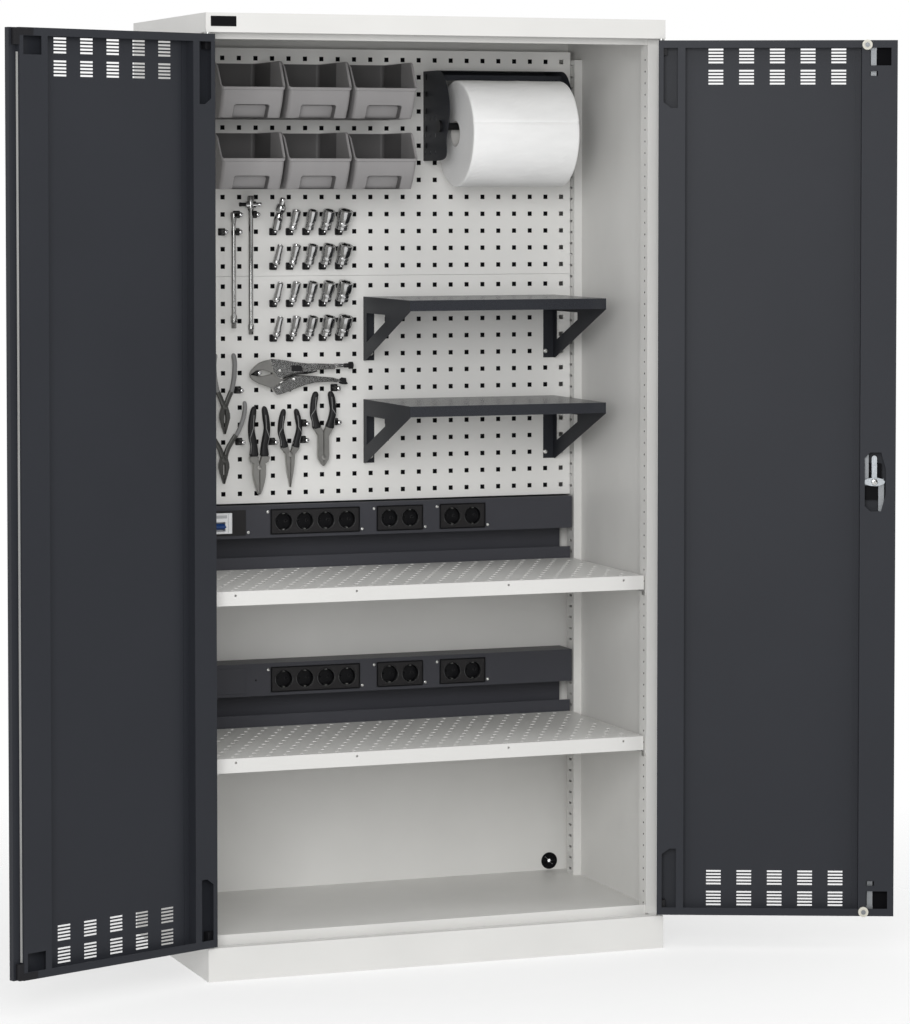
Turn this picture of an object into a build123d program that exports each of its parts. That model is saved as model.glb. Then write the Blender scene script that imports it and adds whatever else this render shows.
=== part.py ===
from build123d import *
from math import cos, radians, sin
import os

os.makedirs("parts", exist_ok=True)

# Overall size of the cabinet with its doors shut
WIDTH = 1023.0
DEPTH = 555.0
HEIGHT = 2000.0
HALF = WIDTH / 2
FRONT = -DEPTH / 2
BACK = DEPTH / 2
SHEET = 1.2

# Cap and plinth, which close the ends above and below the doors
PLINTH_TOP = 70.0
CAP_UNDER = 1960.0
RETURN_DEPTH = 24.5
RETURN_LIP = 12.0
RAIL_FACE = FRONT + 42.0
RAIL_EDGE = 1948.0

# Front posts folded out of the side panels, with a row of clip holes
POST_FACE = FRONT + 38.0
POST_INNER = 487.0
POST_RETURN = FRONT + 76.0
CLIP_HOLE_R = 2.25
CLIP_HOLE_Y = FRONT + 53.0
PITCH = 25.0
FLOOR_TOP = 78.0
FIRST_HOLE = 91.0
HOLE_COUNT = 74

# Slotted uprights in the two rear corners
UPRIGHT_INNER = 492.0
UPRIGHT_FRONT = FRONT + 468.0
UPRIGHT_BACK = FRONT + 508.0
UPRIGHT_TOP = 1929.0
SLOT_Y = FRONT + 488.0
SLOT_LENGTH = 16.0
SLOT_HEIGHT = 5.0

# Square-hole panels for hanging tools
PEG_HALF = 491.0
PEG_FACE = FRONT + 491.0
PEG_HEIGHT = 500.0
PEG_TOP = 1947.0
PEG_PITCH = 38.0
PEG_SHIFT = -6.0
PEG_HOLE = 10.0
PEG_COLUMNS = 26
PEG_ROWS = 13
PEG_FLANGE = 15.0

# Perforated shelves
SHELF_TOPS = {"upper": 804.0, "lower": 455.0}
SHELF_HALF = 484.0
SHELF_FRONT = FRONT + 47.0
SHELF_BACK = FRONT + 466.0
SHELF_LIP = 30.0
SHELF_HOLE = 10.0

# Power channel above each shelf, with a tray for chargers under it
CHANNEL_FACE = FRONT + 470.0
CHANNEL_BACK = FRONT + 545.0
CHANNEL_HALF = 488.0
CHANNEL_LOW = 68.0
CHANNEL_HIGH = 140.0
TRAY_HALF = 483.5
TRAY_LIP = 26.0
MODULE_HEIGHT = 56.0
MODULE_CENTRE = 103.0
FOUR_GANG = 207.0
TWO_GANG = 109.0
OUTLET_PITCH = 49.0
OUTLET_R = 19.5
MODULES = ((-124.0, FOUR_GANG, 4), (74.0, TWO_GANG, 2), (223.0, TWO_GANG, 2))
BREAKER_X = -345.0
BREAKER_FRAME_X = -339.0
BREAKER_WIDTH = 54.0
BREAKER_HEIGHT = 45.0
TOGGLE_R = 7.0
BUTTON_R = 4.0
GROMMET_X = 466.0
GROMMET_Z = 99.0
GROMMET_R = 16.0
BRACE_SHEET = 1.5

# Doors, each turned on two pins near its outer front corner
OPEN_ANGLE = 157.7
PIVOT_X = 505.5
PIVOT_Y = FRONT + 8.0
PIVOT_S = 6.0
PIVOT_D = 8.0
PIN_R = 4.0
PIN_FIT = 0.05
DOOR_LOW = 74.0
DOOR_HIGH = 1956.0
DOOR_MID = (DOOR_LOW + DOOR_HIGH) / 2
DOOR_DEPTH = 25.0
LEFT_WIDTH = 508.5
RIGHT_WIDTH = 509.0
REBATE_S = 491.7
REBATE_D = 13.0
STILE_S = 57.0
FOOT = 12.0
LOCK_STILE_S = 433.0
FREE_STILE_S = 423.0
RAIL_HEIGHT = 16.0
VENT_STARTS = {-1: 112.8, 1: 122.8}

# Three-point lock on the right door
LOCK_S = 464.0
LOCK_Z = 1011.5
ROLLER_R = 11.0
ROLLER_S = 444.0
ROLLER_Z = 1946.0

# Things that hang on the square-hole panels
BIN_WIDTH = 149.0
BIN_LENGTH = 230.0
BIN_HEIGHT = 122.5
BIN_FRONT_HEIGHT = 66.0
BIN_WALL = 2.2
ROLL_R = 117.5
ROLL_LENGTH = 248.5
ROLL_CENTRE = (294.2, FRONT + 371.0, 1760.2)
CORE_R = 27.0
SHELF_LEFT = -4.0
SHELF_RIGHT = 451.0
SHELF_SCREWS = (13.0, 431.0)
SMALL_SHELF_FRONT = FRONT + 182.0
SMALL_SHELF_TOPS = {"upper": 1400.0, "lower": 1172.0}


# Shared helpers

def strip(points, thickness=SHEET):
    """Section of a bent sheet: a band of even thickness on the left of a bent line."""
    with BuildLine() as band:
        line = Polyline(*points)
        offset(line, amount=thickness, side=Side.LEFT, kind=Kind.INTERSECTION)
    make_face(band.edges())


def block(x, y, z, mode=Mode.ADD):
    """A box given by its lowest and highest value along each axis."""
    with Locations(((x[0] + x[1]) / 2, (y[0] + y[1]) / 2, (z[0] + z[1]) / 2)):
        Box(x[1] - x[0], y[1] - y[0], z[1] - z[0], mode=mode)


def hole_heights():
    """Heights of the clip holes and slots, which share one pitch."""
    return [FIRST_HOLE + PITCH * k for k in range(HOLE_COUNT)]


def slot_near(z):
    """Height of the slot nearest to a given height."""
    return FIRST_HOLE + PITCH * round((z - FIRST_HOLE) / PITCH)


# Carcass

with BuildPart() as top_cap:
    with BuildSketch(Plane.YZ.offset(-HALF)):
        strip([
            (BACK, CAP_UNDER),
            (BACK, HEIGHT),
            (FRONT, HEIGHT),
            (FRONT, CAP_UNDER),
            (FRONT + RETURN_DEPTH, CAP_UNDER),
            (FRONT + RETURN_DEPTH, CAP_UNDER + RETURN_LIP),
        ])
    extrude(amount=WIDTH)
    for end in (-HALF, HALF - SHEET):
        block((end, end + SHEET), (FRONT + SHEET, BACK - SHEET), (CAP_UNDER, HEIGHT - SHEET))
    with Locations((-PIVOT_X, PIVOT_Y, CAP_UNDER), (PIVOT_X, PIVOT_Y, CAP_UNDER)):
        Cylinder(PIN_R, 4 * SHEET, mode=Mode.SUBTRACT)
top_cap.part.label = "top_cap"
export_step(top_cap.part, "parts/top_cap.step")

with BuildPart() as header_rail:
    with BuildSketch(Plane.YZ.offset(-POST_INNER)):
        strip([
            (RAIL_FACE, HEIGHT - SHEET),
            (RAIL_FACE, RAIL_EDGE),
            (RAIL_FACE + 18, RAIL_EDGE),
        ])
    extrude(amount=2 * POST_INNER)
header_rail.part.label = "header_rail"
export_step(header_rail.part, "parts/header_rail.step")

with BuildPart() as side_panel_right:
    with BuildSketch(Plane.XY.offset(PLINTH_TOP)):
        strip([
            (POST_INNER, POST_RETURN),
            (POST_INNER, POST_FACE),
            (HALF, POST_FACE),
            (HALF, BACK),
            (HALF - 15, BACK),
        ])
    extrude(amount=CAP_UNDER - PLINTH_TOP)
    with BuildSketch(Plane.YZ.offset(POST_INNER - SHEET)):
        with Locations([(CLIP_HOLE_Y, z) for z in hole_heights()]):
            Circle(CLIP_HOLE_R)
    extrude(amount=3 * SHEET, mode=Mode.SUBTRACT)
side_panel_right.part.label = "side_panel_right"
export_step(side_panel_right.part, "parts/side_panel_right.step")

with BuildPart() as side_panel_left:
    add(mirror(side_panel_right.part, about=Plane.YZ))
side_panel_left.part.label = "side_panel_left"
export_step(side_panel_left.part, "parts/side_panel_left.step")

with BuildPart() as back_panel:
    block(
        (-HALF + SHEET, HALF - SHEET),
        (BACK - 2 * SHEET, BACK - SHEET),
        (PLINTH_TOP, CAP_UNDER),
    )
    with Locations(Location((GROMMET_X, BACK, GROMMET_Z), (90, 0, 0))):
        Cylinder(GROMMET_R, 8 * SHEET, mode=Mode.SUBTRACT)
back_panel.part.label = "back_panel"
export_step(back_panel.part, "parts/back_panel.step")

with BuildPart() as cable_grommet:
    with BuildSketch(Plane.XZ.offset(-(BACK - 2 * SHEET))):
        with Locations((GROMMET_X, GROMMET_Z)):
            Circle(GROMMET_R + 3)
    extrude(amount=2)
    with BuildSketch(Plane.XZ.offset(-(BACK - 2 * SHEET))):
        with Locations((GROMMET_X, GROMMET_Z)):
            Circle(GROMMET_R)
    extrude(amount=-2 * SHEET)
    with BuildSketch(Plane.XZ.offset(-BACK)):
        with Locations((GROMMET_X, GROMMET_Z)):
            Circle(4)
            with PolarLocations(GROMMET_R / 2, 8):
                Rectangle(GROMMET_R - 4, 0.8)
    extrude(amount=10, mode=Mode.SUBTRACT)
cable_grommet.part.label = "cable_grommet"
export_step(cable_grommet.part, "parts/cable_grommet.step")

with BuildPart() as floor_panel:
    with BuildSketch(Plane.YZ.offset(-POST_INNER)):
        strip([
            (BACK - 2 * SHEET, FLOOR_TOP),
            (RAIL_FACE + 8, FLOOR_TOP),
            (RAIL_FACE + 8, FLOOR_TOP + 10),
            (RAIL_FACE, FLOOR_TOP + 10),
            (RAIL_FACE, PLINTH_TOP - 10),
        ])
    extrude(amount=2 * POST_INNER)
    for x in ((-HALF + SHEET, -POST_INNER), (POST_INNER, HALF - SHEET)):
        block(x, (POST_RETURN + 0.3, BACK - 2 * SHEET), (FLOOR_TOP - SHEET, FLOOR_TOP))
floor_panel.part.label = "floor_panel"
export_step(floor_panel.part, "parts/floor_panel.step")

with BuildPart() as plinth:
    with BuildSketch(Plane.YZ.offset(-HALF)):
        strip([
            (FRONT + RETURN_DEPTH, PLINTH_TOP - RETURN_LIP),
            (FRONT + RETURN_DEPTH, PLINTH_TOP),
            (FRONT, PLINTH_TOP),
            (FRONT, 0),
            (FRONT + 20, 0),
        ])
        strip([(BACK - 20, 0), (BACK, 0), (BACK, PLINTH_TOP), (BACK - 20, PLINTH_TOP)])
    extrude(amount=WIDTH)
    for side in (-1, 1):
        skirt = sorted((side * HALF, side * (HALF - SHEET)))
        ledge = sorted((side * (HALF - SHEET), side * (HALF - 20)))
        block(skirt, (FRONT + SHEET, BACK - SHEET), (0, PLINTH_TOP))
        block(ledge, (FRONT + RETURN_DEPTH, BACK - 20), (PLINTH_TOP - SHEET, PLINTH_TOP))
    with Locations((-PIVOT_X, PIVOT_Y, PLINTH_TOP), (PIVOT_X, PIVOT_Y, PLINTH_TOP)):
        Cylinder(PIN_R, 4 * SHEET, mode=Mode.SUBTRACT)
plinth.part.label = "plinth"
export_step(plinth.part, "parts/plinth.step")

with BuildPart() as floor_brace:
    seat = FLOOR_TOP - SHEET - BRACE_SHEET
    with BuildSketch(Plane.YZ.offset(-HALF + 22)):
        strip(
            [(-50, seat), (-30, seat), (-30, 0), (30, 0), (30, seat), (50, seat)],
            BRACE_SHEET,
        )
    extrude(amount=WIDTH - 44)
floor_brace.part.label = "floor_brace"
export_step(floor_brace.part, "parts/floor_brace.step")

with BuildPart() as rear_upright_right:
    with BuildSketch(Plane.XY.offset(FLOOR_TOP)):
        strip([
            (HALF - SHEET, UPRIGHT_BACK),
            (UPRIGHT_INNER, UPRIGHT_BACK),
            (UPRIGHT_INNER, UPRIGHT_FRONT),
            (HALF - SHEET, UPRIGHT_FRONT),
        ])
    extrude(amount=UPRIGHT_TOP - FLOOR_TOP)
    with BuildSketch(Plane.YZ.offset(UPRIGHT_INNER - SHEET)):
        with Locations([(SLOT_Y, z) for z in hole_heights()]):
            Rectangle(SLOT_LENGTH, SLOT_HEIGHT)
    extrude(amount=3 * SHEET, mode=Mode.SUBTRACT)
rear_upright_right.part.label = "rear_upright_right"
export_step(rear_upright_right.part, "parts/rear_upright_right.step")

with BuildPart() as rear_upright_left:
    add(mirror(rear_upright_right.part, about=Plane.YZ))
rear_upright_left.part.label = "rear_upright_left"
export_step(rear_upright_left.part, "parts/rear_upright_left.step")


# Square-hole panels, hooked into the uprights

def peg_panel(name, top):
    """A flanged tray of square holes, with two hooks on each edge."""
    bottom = top - PEG_HEIGHT + 0.5
    middle = (top + bottom) / 2
    back = PEG_FACE + PEG_FLANGE
    with BuildPart() as panel:
        with BuildSketch(Plane.XZ.offset(-(PEG_FACE + SHEET))):
            with Locations((0, middle)):
                Rectangle(2 * PEG_HALF, top - bottom)
            with Locations((PEG_SHIFT, top - 22 - PEG_PITCH * (PEG_ROWS - 1) / 2)):
                with GridLocations(PEG_PITCH, PEG_PITCH, PEG_COLUMNS, PEG_ROWS):
                    Rectangle(PEG_HOLE, PEG_HOLE, mode=Mode.SUBTRACT)
        extrude(amount=SHEET)
        for z in (bottom, top - SHEET):
            block((-PEG_HALF, PEG_HALF), (PEG_FACE + SHEET, back), (z, z + SHEET))
        for x in (-PEG_HALF, PEG_HALF - SHEET):
            block((x, x + SHEET), (PEG_FACE + SHEET, back), (bottom + SHEET, top - SHEET))
        for z in (slot_near(top - 35), slot_near(bottom + 45)):
            for side in (-1, 1):
                reach = sorted((side * PEG_HALF, side * (UPRIGHT_INNER + 5)))
                block(reach, (PEG_FACE + 1.5, SLOT_Y + 7), (z - 2.5, z + 0.5))
    panel.part.label = name
    export_step(panel.part, f"parts/{name}.step")


peg_panel("peg_panel_upper", PEG_TOP)
peg_panel("peg_panel_lower", PEG_TOP - PEG_HEIGHT)


# Perforated shelves and the clips under their corners

def shelf(name, top):
    """A tray turned upside down, with staggered round holes and four holes in its front lip."""
    low = top - SHELF_LIP
    middle = (SHELF_FRONT + SHELF_BACK) / 2
    with BuildPart() as tray:
        with BuildSketch(Plane.XY.offset(top - SHEET)):
            with Locations((0, middle)):
                Rectangle(2 * SHELF_HALF, SHELF_BACK - SHELF_FRONT)
                with GridLocations(PEG_PITCH, 2 * PEG_PITCH, 25, 5):
                    Circle(SHELF_HOLE / 2, mode=Mode.SUBTRACT)
                with GridLocations(PEG_PITCH, 2 * PEG_PITCH, 24, 6):
                    Circle(SHELF_HOLE / 2, mode=Mode.SUBTRACT)
        extrude(amount=SHEET)
        for y in (SHELF_FRONT, SHELF_BACK - SHEET):
            block((-SHELF_HALF, SHELF_HALF), (y, y + SHEET), (low, top - SHEET))
        for x in (-SHELF_HALF, SHELF_HALF - SHEET):
            block((x, x + SHEET), (SHELF_FRONT + SHEET, SHELF_BACK - SHEET), (low, top - SHEET))
        with BuildSketch(Plane.XZ.offset(-SHELF_FRONT - SHEET)):
            with Locations([(x, top - 9) for x in (-437, -171, 171, 437)]):
                Circle(2.5)
        extrude(amount=3 * SHEET, both=True, mode=Mode.SUBTRACT)
    tray.part.label = name
    export_step(tray.part, f"parts/{name}.step")


def shelf_clip(side, y, low, z):
    """The upright leg of a clip and the ledge that carries a corner of the shelf."""
    leg = sorted((side * (POST_INNER - 2.4), side * POST_INNER))
    ledge = sorted((side * (SHELF_HALF - 10), side * POST_INNER))
    block(leg, (y - 6, y + 6), (z - 5, low))
    block(ledge, (y - 6, y + 6), (low - 2.4, low))


for level, top in SHELF_TOPS.items():
    shelf(f"shelf_{level}", top)

with BuildPart() as shelf_clips:
    for top in SHELF_TOPS.values():
        low = top - SHELF_LIP
        for side in (-1, 1):
            z = slot_near(low - 8)
            pin = sorted((side * POST_INNER, side * (POST_INNER + 4)))
            arm = sorted((side * POST_INNER, side * (UPRIGHT_INNER - 0.5)))
            tab = sorted((side * (UPRIGHT_INNER - 0.5), side * (UPRIGHT_INNER + 4)))
            shelf_clip(side, CLIP_HOLE_Y, low, z)
            shelf_clip(side, SHELF_BACK - 6, low, z)
            block(pin, (CLIP_HOLE_Y - 1.6, CLIP_HOLE_Y + 1.6), (z - 1.5, z + 1.5))
            block(arm, (SHELF_BACK - 12, SLOT_Y + 6), (z - 2.5, z + 0.5))
            block(tab, (SLOT_Y - 6, SLOT_Y + 6), (z - 2.5, z + 0.5))
shelf_clips.part.label = "shelf_clips"
export_step(shelf_clips.part, "parts/shelf_clips.step")


# Power channels with their windows, and the charger trays below them

def gang_centres(x, count):
    """Places across of the outlets in one module."""
    return [x + OUTLET_PITCH * (k - (count - 1) / 2) for k in range(count)]


def power_channel(name, top, windows):
    """A channel open to the rear, with a window for each module and a hook at each end."""
    low, high = top + CHANNEL_LOW, top + CHANNEL_HIGH
    z = slot_near(top + MODULE_CENTRE)
    with BuildPart() as channel:
        with BuildSketch(Plane.YZ.offset(-CHANNEL_HALF)):
            strip([
                (CHANNEL_BACK, high),
                (CHANNEL_FACE, high),
                (CHANNEL_FACE, low),
                (CHANNEL_BACK, low),
            ])
        extrude(amount=2 * CHANNEL_HALF)
        for side in (-1, 1):
            plate = sorted((side * CHANNEL_HALF, side * (CHANNEL_HALF - SHEET)))
            tab = sorted((side * CHANNEL_HALF, side * (UPRIGHT_INNER + 5)))
            block(plate, (CHANNEL_FACE + SHEET, CHANNEL_FACE + 40), (low + SHEET, high - SHEET))
            block(tab, (SLOT_Y - 6, SLOT_Y + 6), (z - 2.5, z + 0.5))
        for x, width in windows:
            block(
                (x - width / 2 + 4, x + width / 2 - 4),
                (CHANNEL_FACE - 1, CHANNEL_FACE + 2),
                (top + MODULE_CENTRE - 24, top + MODULE_CENTRE + 24),
                mode=Mode.SUBTRACT,
            )
    channel.part.label = name
    export_step(channel.part, f"parts/{name}.step")


def charger_tray(name, top):
    """A narrow slotted tray behind the shelf, with a tall back plate."""
    low = top - 2
    with BuildPart() as tray:
        with BuildSketch(Plane.YZ.offset(-TRAY_HALF)):
            strip([
                (CHANNEL_FACE, low + TRAY_LIP + 2),
                (CHANNEL_FACE, low),
                (CHANNEL_FACE + 65, low),
                (CHANNEL_FACE + 65, top + CHANNEL_LOW),
            ])
        extrude(amount=2 * TRAY_HALF)
        with BuildSketch(Plane.XY.offset(low - 1)):
            with Locations((0, CHANNEL_FACE + 34)):
                with GridLocations(96, 1, 10, 1):
                    SlotOverall(64, 9)
        extrude(amount=4, mode=Mode.SUBTRACT)
    tray.part.label = name
    export_step(tray.part, f"parts/{name}.step")


def socket_modules(name, top):
    """Front plates with round recesses, each with a body that fills its window."""
    z = top + MODULE_CENTRE
    with BuildPart() as modules:
        for x, width, count in MODULES:
            block(
                (x - width / 2, x + width / 2),
                (CHANNEL_FACE - 1.5, CHANNEL_FACE),
                (z - MODULE_HEIGHT / 2, z + MODULE_HEIGHT / 2),
            )
            block(
                (x - width / 2 + 4, x + width / 2 - 4),
                (CHANNEL_FACE, CHANNEL_FACE + 30),
                (z - 24, z + 24),
            )
            with BuildSketch(Plane.XZ.offset(-(CHANNEL_FACE - 2))):
                with Locations([(place, z) for place in gang_centres(x, count)]):
                    Circle(OUTLET_R)
            extrude(amount=-17, mode=Mode.SUBTRACT)
            with BuildSketch(Plane.XZ.offset(-(CHANNEL_FACE - 2))):
                for place in gang_centres(x, count):
                    with Locations((place - 9.5, z), (place + 9.5, z)):
                        Circle(2.4)
            extrude(amount=-28, mode=Mode.SUBTRACT)
    modules.part.label = name
    export_step(modules.part, f"parts/{name}.step")


SOCKET_WINDOWS = [(x, width) for x, width, count in MODULES]
power_channel("power_channel_upper", SHELF_TOPS["upper"],
              SOCKET_WINDOWS + [(BREAKER_FRAME_X, TWO_GANG)])
power_channel("power_channel_lower", SHELF_TOPS["lower"], SOCKET_WINDOWS)
for level, top in SHELF_TOPS.items():
    charger_tray(f"charger_tray_{level}", top)
    socket_modules(f"sockets_{level}", top)

# Breaker beside the upper outlets

BREAKER_Z = SHELF_TOPS["upper"] + MODULE_CENTRE
TOGGLE_Z = BREAKER_Z - 7

with BuildPart() as breaker_frame:
    block(
        (BREAKER_FRAME_X - TWO_GANG / 2, BREAKER_FRAME_X + TWO_GANG / 2),
        (CHANNEL_FACE - 1.5, CHANNEL_FACE),
        (BREAKER_Z - MODULE_HEIGHT / 2, BREAKER_Z + MODULE_HEIGHT / 2),
    )
    block(
        (BREAKER_FRAME_X - TWO_GANG / 2 + 4, BREAKER_FRAME_X + TWO_GANG / 2 - 4),
        (CHANNEL_FACE, CHANNEL_FACE + 20),
        (BREAKER_Z - 24, BREAKER_Z + 24),
    )
    block(
        (BREAKER_X - BREAKER_WIDTH / 2, BREAKER_X + BREAKER_WIDTH / 2),
        (CHANNEL_FACE - 2, CHANNEL_FACE + 21),
        (BREAKER_Z - BREAKER_HEIGHT / 2, BREAKER_Z + BREAKER_HEIGHT / 2),
        mode=Mode.SUBTRACT,
    )
breaker_frame.part.label = "breaker_frame"
export_step(breaker_frame.part, "parts/breaker_frame.step")

with BuildPart() as breaker_body:
    block(
        (BREAKER_X - BREAKER_WIDTH / 2, BREAKER_X + BREAKER_WIDTH / 2),
        (CHANNEL_FACE - 8, CHANNEL_FACE + 30),
        (BREAKER_Z - BREAKER_HEIGHT / 2, BREAKER_Z + BREAKER_HEIGHT / 2),
    )
    block(
        (BREAKER_X - 11.8, BREAKER_X + 11.8),
        (CHANNEL_FACE - 9, CHANNEL_FACE + 9),
        (TOGGLE_Z - 10.5, TOGGLE_Z + 10.5),
        mode=Mode.SUBTRACT,
    )
    with Locations(Location((BREAKER_X, CHANNEL_FACE, TOGGLE_Z), (0, 90, 0))):
        Cylinder(2.05, 30, mode=Mode.SUBTRACT)
    with Locations(Location((BREAKER_X - 16, CHANNEL_FACE, BREAKER_Z + 14), (90, 0, 0))):
        Cylinder(BUTTON_R + 0.05, 20, mode=Mode.SUBTRACT)
breaker_body.part.label = "breaker_body"
export_step(breaker_body.part, "parts/breaker_body.step")

with BuildPart() as breaker_toggle:
    with Locations(Location((BREAKER_X, CHANNEL_FACE, TOGGLE_Z), (0, 90, 0))):
        Cylinder(TOGGLE_R, 23)
        Cylinder(2, 29)
    block(
        (BREAKER_X - 11.5, BREAKER_X + 11.5),
        (CHANNEL_FACE - 16, CHANNEL_FACE),
        (TOGGLE_Z - 2, TOGGLE_Z + 2),
    )
breaker_toggle.part.label = "breaker_toggle"
export_step(breaker_toggle.part, "parts/breaker_toggle.step")

with BuildPart() as test_button:
    with Locations(Location((BREAKER_X - 16, CHANNEL_FACE - 2, BREAKER_Z + 14), (90, 0, 0))):
        Cylinder(BUTTON_R, 16)
test_button.part.label = "test_button"
export_step(test_button.part, "parts/test_button.step")

with BuildPart() as cross_head_screws:
    for top in SHELF_TOPS.values():
        for x, width, count in MODULES + ((BREAKER_FRAME_X, TWO_GANG, 0),):
            for end in (-1, 1):
                place = (x + end * (width / 2 + 6), top + MODULE_CENTRE - end * 22)
                if count or top == SHELF_TOPS["upper"]:
                    with Locations(Location((place[0], CHANNEL_FACE, place[1]), (90, 0, 0))):
                        Cylinder(3.2, 1.6, align=(Align.CENTER, Align.CENTER, Align.MIN))
    for top in SMALL_SHELF_TOPS.values():
        for x in SHELF_SCREWS:
            with Locations(Location((x, PEG_FACE - SHEET, top - 127), (90, 0, 0))):
                Cylinder(5, 2, align=(Align.CENTER, Align.CENTER, Align.MIN))
                Cylinder(3, 10, align=(Align.CENTER, Align.CENTER, Align.MAX))
cross_head_screws.part.label = "cross_head_screws"
export_step(cross_head_screws.part, "parts/cross_head_screws.step")


# Open bins hooked on the square-hole panel

BIN_X = (-328.5, -178.7, -29.0)
BIN_HOOK_X = (-329.0, -177.0, -25.0)
BIN_RIMS = {"upper": 1913.0, "lower": 1761.0}
GRIP = (82.0, 28.0, 10.0)


def bin_shape(inset, rim):
    """Solid outline of a bin drawn in by an inset, with the hand recess left out."""
    front, back = PEG_FACE - BIN_LENGTH + inset, PEG_FACE - inset
    low, high = rim - BIN_HEIGHT + inset, rim + (5 if inset else 0)
    lip = rim - BIN_HEIGHT + BIN_FRONT_HEIGHT + (5 if inset else 0)
    half = BIN_WIDTH / 2 - inset
    with BuildSketch(Plane.YZ.offset(-half)) as profile:
        with BuildLine():
            Polyline(
                (back, low),
                (back, high),
                (back - 190 + 2 * inset, high),
                (front, lip),
                (front + 20, low),
                close=True,
            )
        make_face()
    extrude(profile.sketch, amount=2 * half)
    with BuildSketch(Plane.XY.offset(rim - BIN_HEIGHT)) as plan:
        with BuildLine():
            Polyline(
                (-half, back),
                (half, back),
                (half - 4, front),
                (4 - half, front),
                close=True,
            )
        make_face()
    extrude(plan.sketch, amount=BIN_HEIGHT + 10, mode=Mode.INTERSECT)
    block(
        (-GRIP[0] / 2 - inset, GRIP[0] / 2 + inset),
        (front - 1, front + 20 + GRIP[2]),
        (low - 1, low + GRIP[1]),
        mode=Mode.SUBTRACT,
    )


def bin_row(name, rim):
    """Three like bins, each with two hooks in square holes."""
    with BuildPart() as cavity:
        bin_shape(BIN_WALL, rim)
    with BuildPart() as shell:
        bin_shape(0, rim)
        add(cavity.part, mode=Mode.SUBTRACT)
    with BuildPart() as row:
        with Locations(*[(x, 0, 0) for x in BIN_X]):
            add(shell.part)
        for centre in BIN_HOOK_X:
            for x in (centre - PEG_PITCH, centre + PEG_PITCH):
                block((x - 3, x + 3), (PEG_FACE, PEG_FACE + 8), (rim - 31, rim - 25))
    row.part.label = name
    export_step(row.part, f"parts/{name}.step")


for level, rim in BIN_RIMS.items():
    bin_row(f"bins_{level}_row", rim)

# Paper roll on its holder

HOLDER_LEFT = 138.0
HOLDER_RIGHT = 430.0
SPINDLE_R = 8.0
SPINDLE = (FRONT + 378.0, 1776.5)

with BuildPart() as roll_holder:
    for x in (HOLDER_LEFT, HOLDER_RIGHT):
        with BuildSketch(Plane.YZ.offset(x)):
            with BuildLine():
                Polyline(
                    (PEG_FACE - 84, 1701), (PEG_FACE, 1701), (PEG_FACE, 1900), (PEG_FACE - 90, 1900)
                )
                Spline(
                    (PEG_FACE - 90, 1900),
                    (PEG_FACE - 148, 1868),
                    (PEG_FACE - 168, 1805),
                    (PEG_FACE - 147, 1739),
                    (PEG_FACE - 84, 1701),
                    tangents=((-1, 0), (1, 0)),
                )
            make_face()
            with Locations((PEG_FACE - 44, 1757)):
                with GridLocations(33, 38, 3, 3):
                    Rectangle(4, 9, mode=Mode.SUBTRACT)
            with Locations(SPINDLE):
                Circle(SPINDLE_R, mode=Mode.SUBTRACT)
        extrude(amount=SHEET)
    for z in (1710, 1890 - SHEET):
        block((HOLDER_LEFT + SHEET, HOLDER_RIGHT), (PEG_FACE - SHEET, PEG_FACE), (z, z + 10))
    block((HOLDER_LEFT + SHEET, HOLDER_RIGHT), (PEG_FACE - 90, PEG_FACE), (1898.8, 1900))
    block((HOLDER_LEFT + SHEET, HOLDER_RIGHT + 12), (PEG_FACE - 97, PEG_FACE - 85), (1878, 1890))
    for x in (165, 393):
        block((x - 4, x + 4), (PEG_FACE, PEG_FACE + 8), (1882, 1890))
roll_holder.part.label = "roll_holder"
export_step(roll_holder.part, "parts/roll_holder.step")

with BuildPart() as roll_spindle:
    with Locations(Location((HOLDER_LEFT - 6, SPINDLE[0], SPINDLE[1]), (0, 90, 0))):
        Cylinder(
            SPINDLE_R,
            HOLDER_RIGHT - HOLDER_LEFT + 14,
            align=(Align.CENTER, Align.CENTER, Align.MIN),
        )
        Cylinder(SPINDLE_R + 5, 6, align=(Align.CENTER, Align.CENTER, Align.MIN))
roll_spindle.part.label = "roll_spindle"
export_step(roll_spindle.part, "parts/roll_spindle.step")

with BuildPart() as paper_roll:
    with Locations(Location(ROLL_CENTRE, (0, 90, 0))):
        Cylinder(ROLL_R, ROLL_LENGTH)
        Cylinder(CORE_R, ROLL_LENGTH, mode=Mode.SUBTRACT)
paper_roll.part.label = "paper_roll"
export_step(paper_roll.part, "parts/paper_roll.step")


# Small shelves on side brackets

def tool_shelf(name, top):
    """A shallow tray turned upside down between two brackets."""
    front, back = SMALL_SHELF_FRONT, PEG_FACE - SHEET
    with BuildPart() as tray:
        with BuildSketch(Plane.YZ.offset(SHELF_LEFT + SHEET)):
            strip([(back, top - 23), (back, top), (front, top), (front, top - 23)])
        extrude(amount=SHELF_RIGHT - SHELF_LEFT - 2 * SHEET)
    tray.part.label = name
    export_step(tray.part, f"parts/{name}.step")


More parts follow.
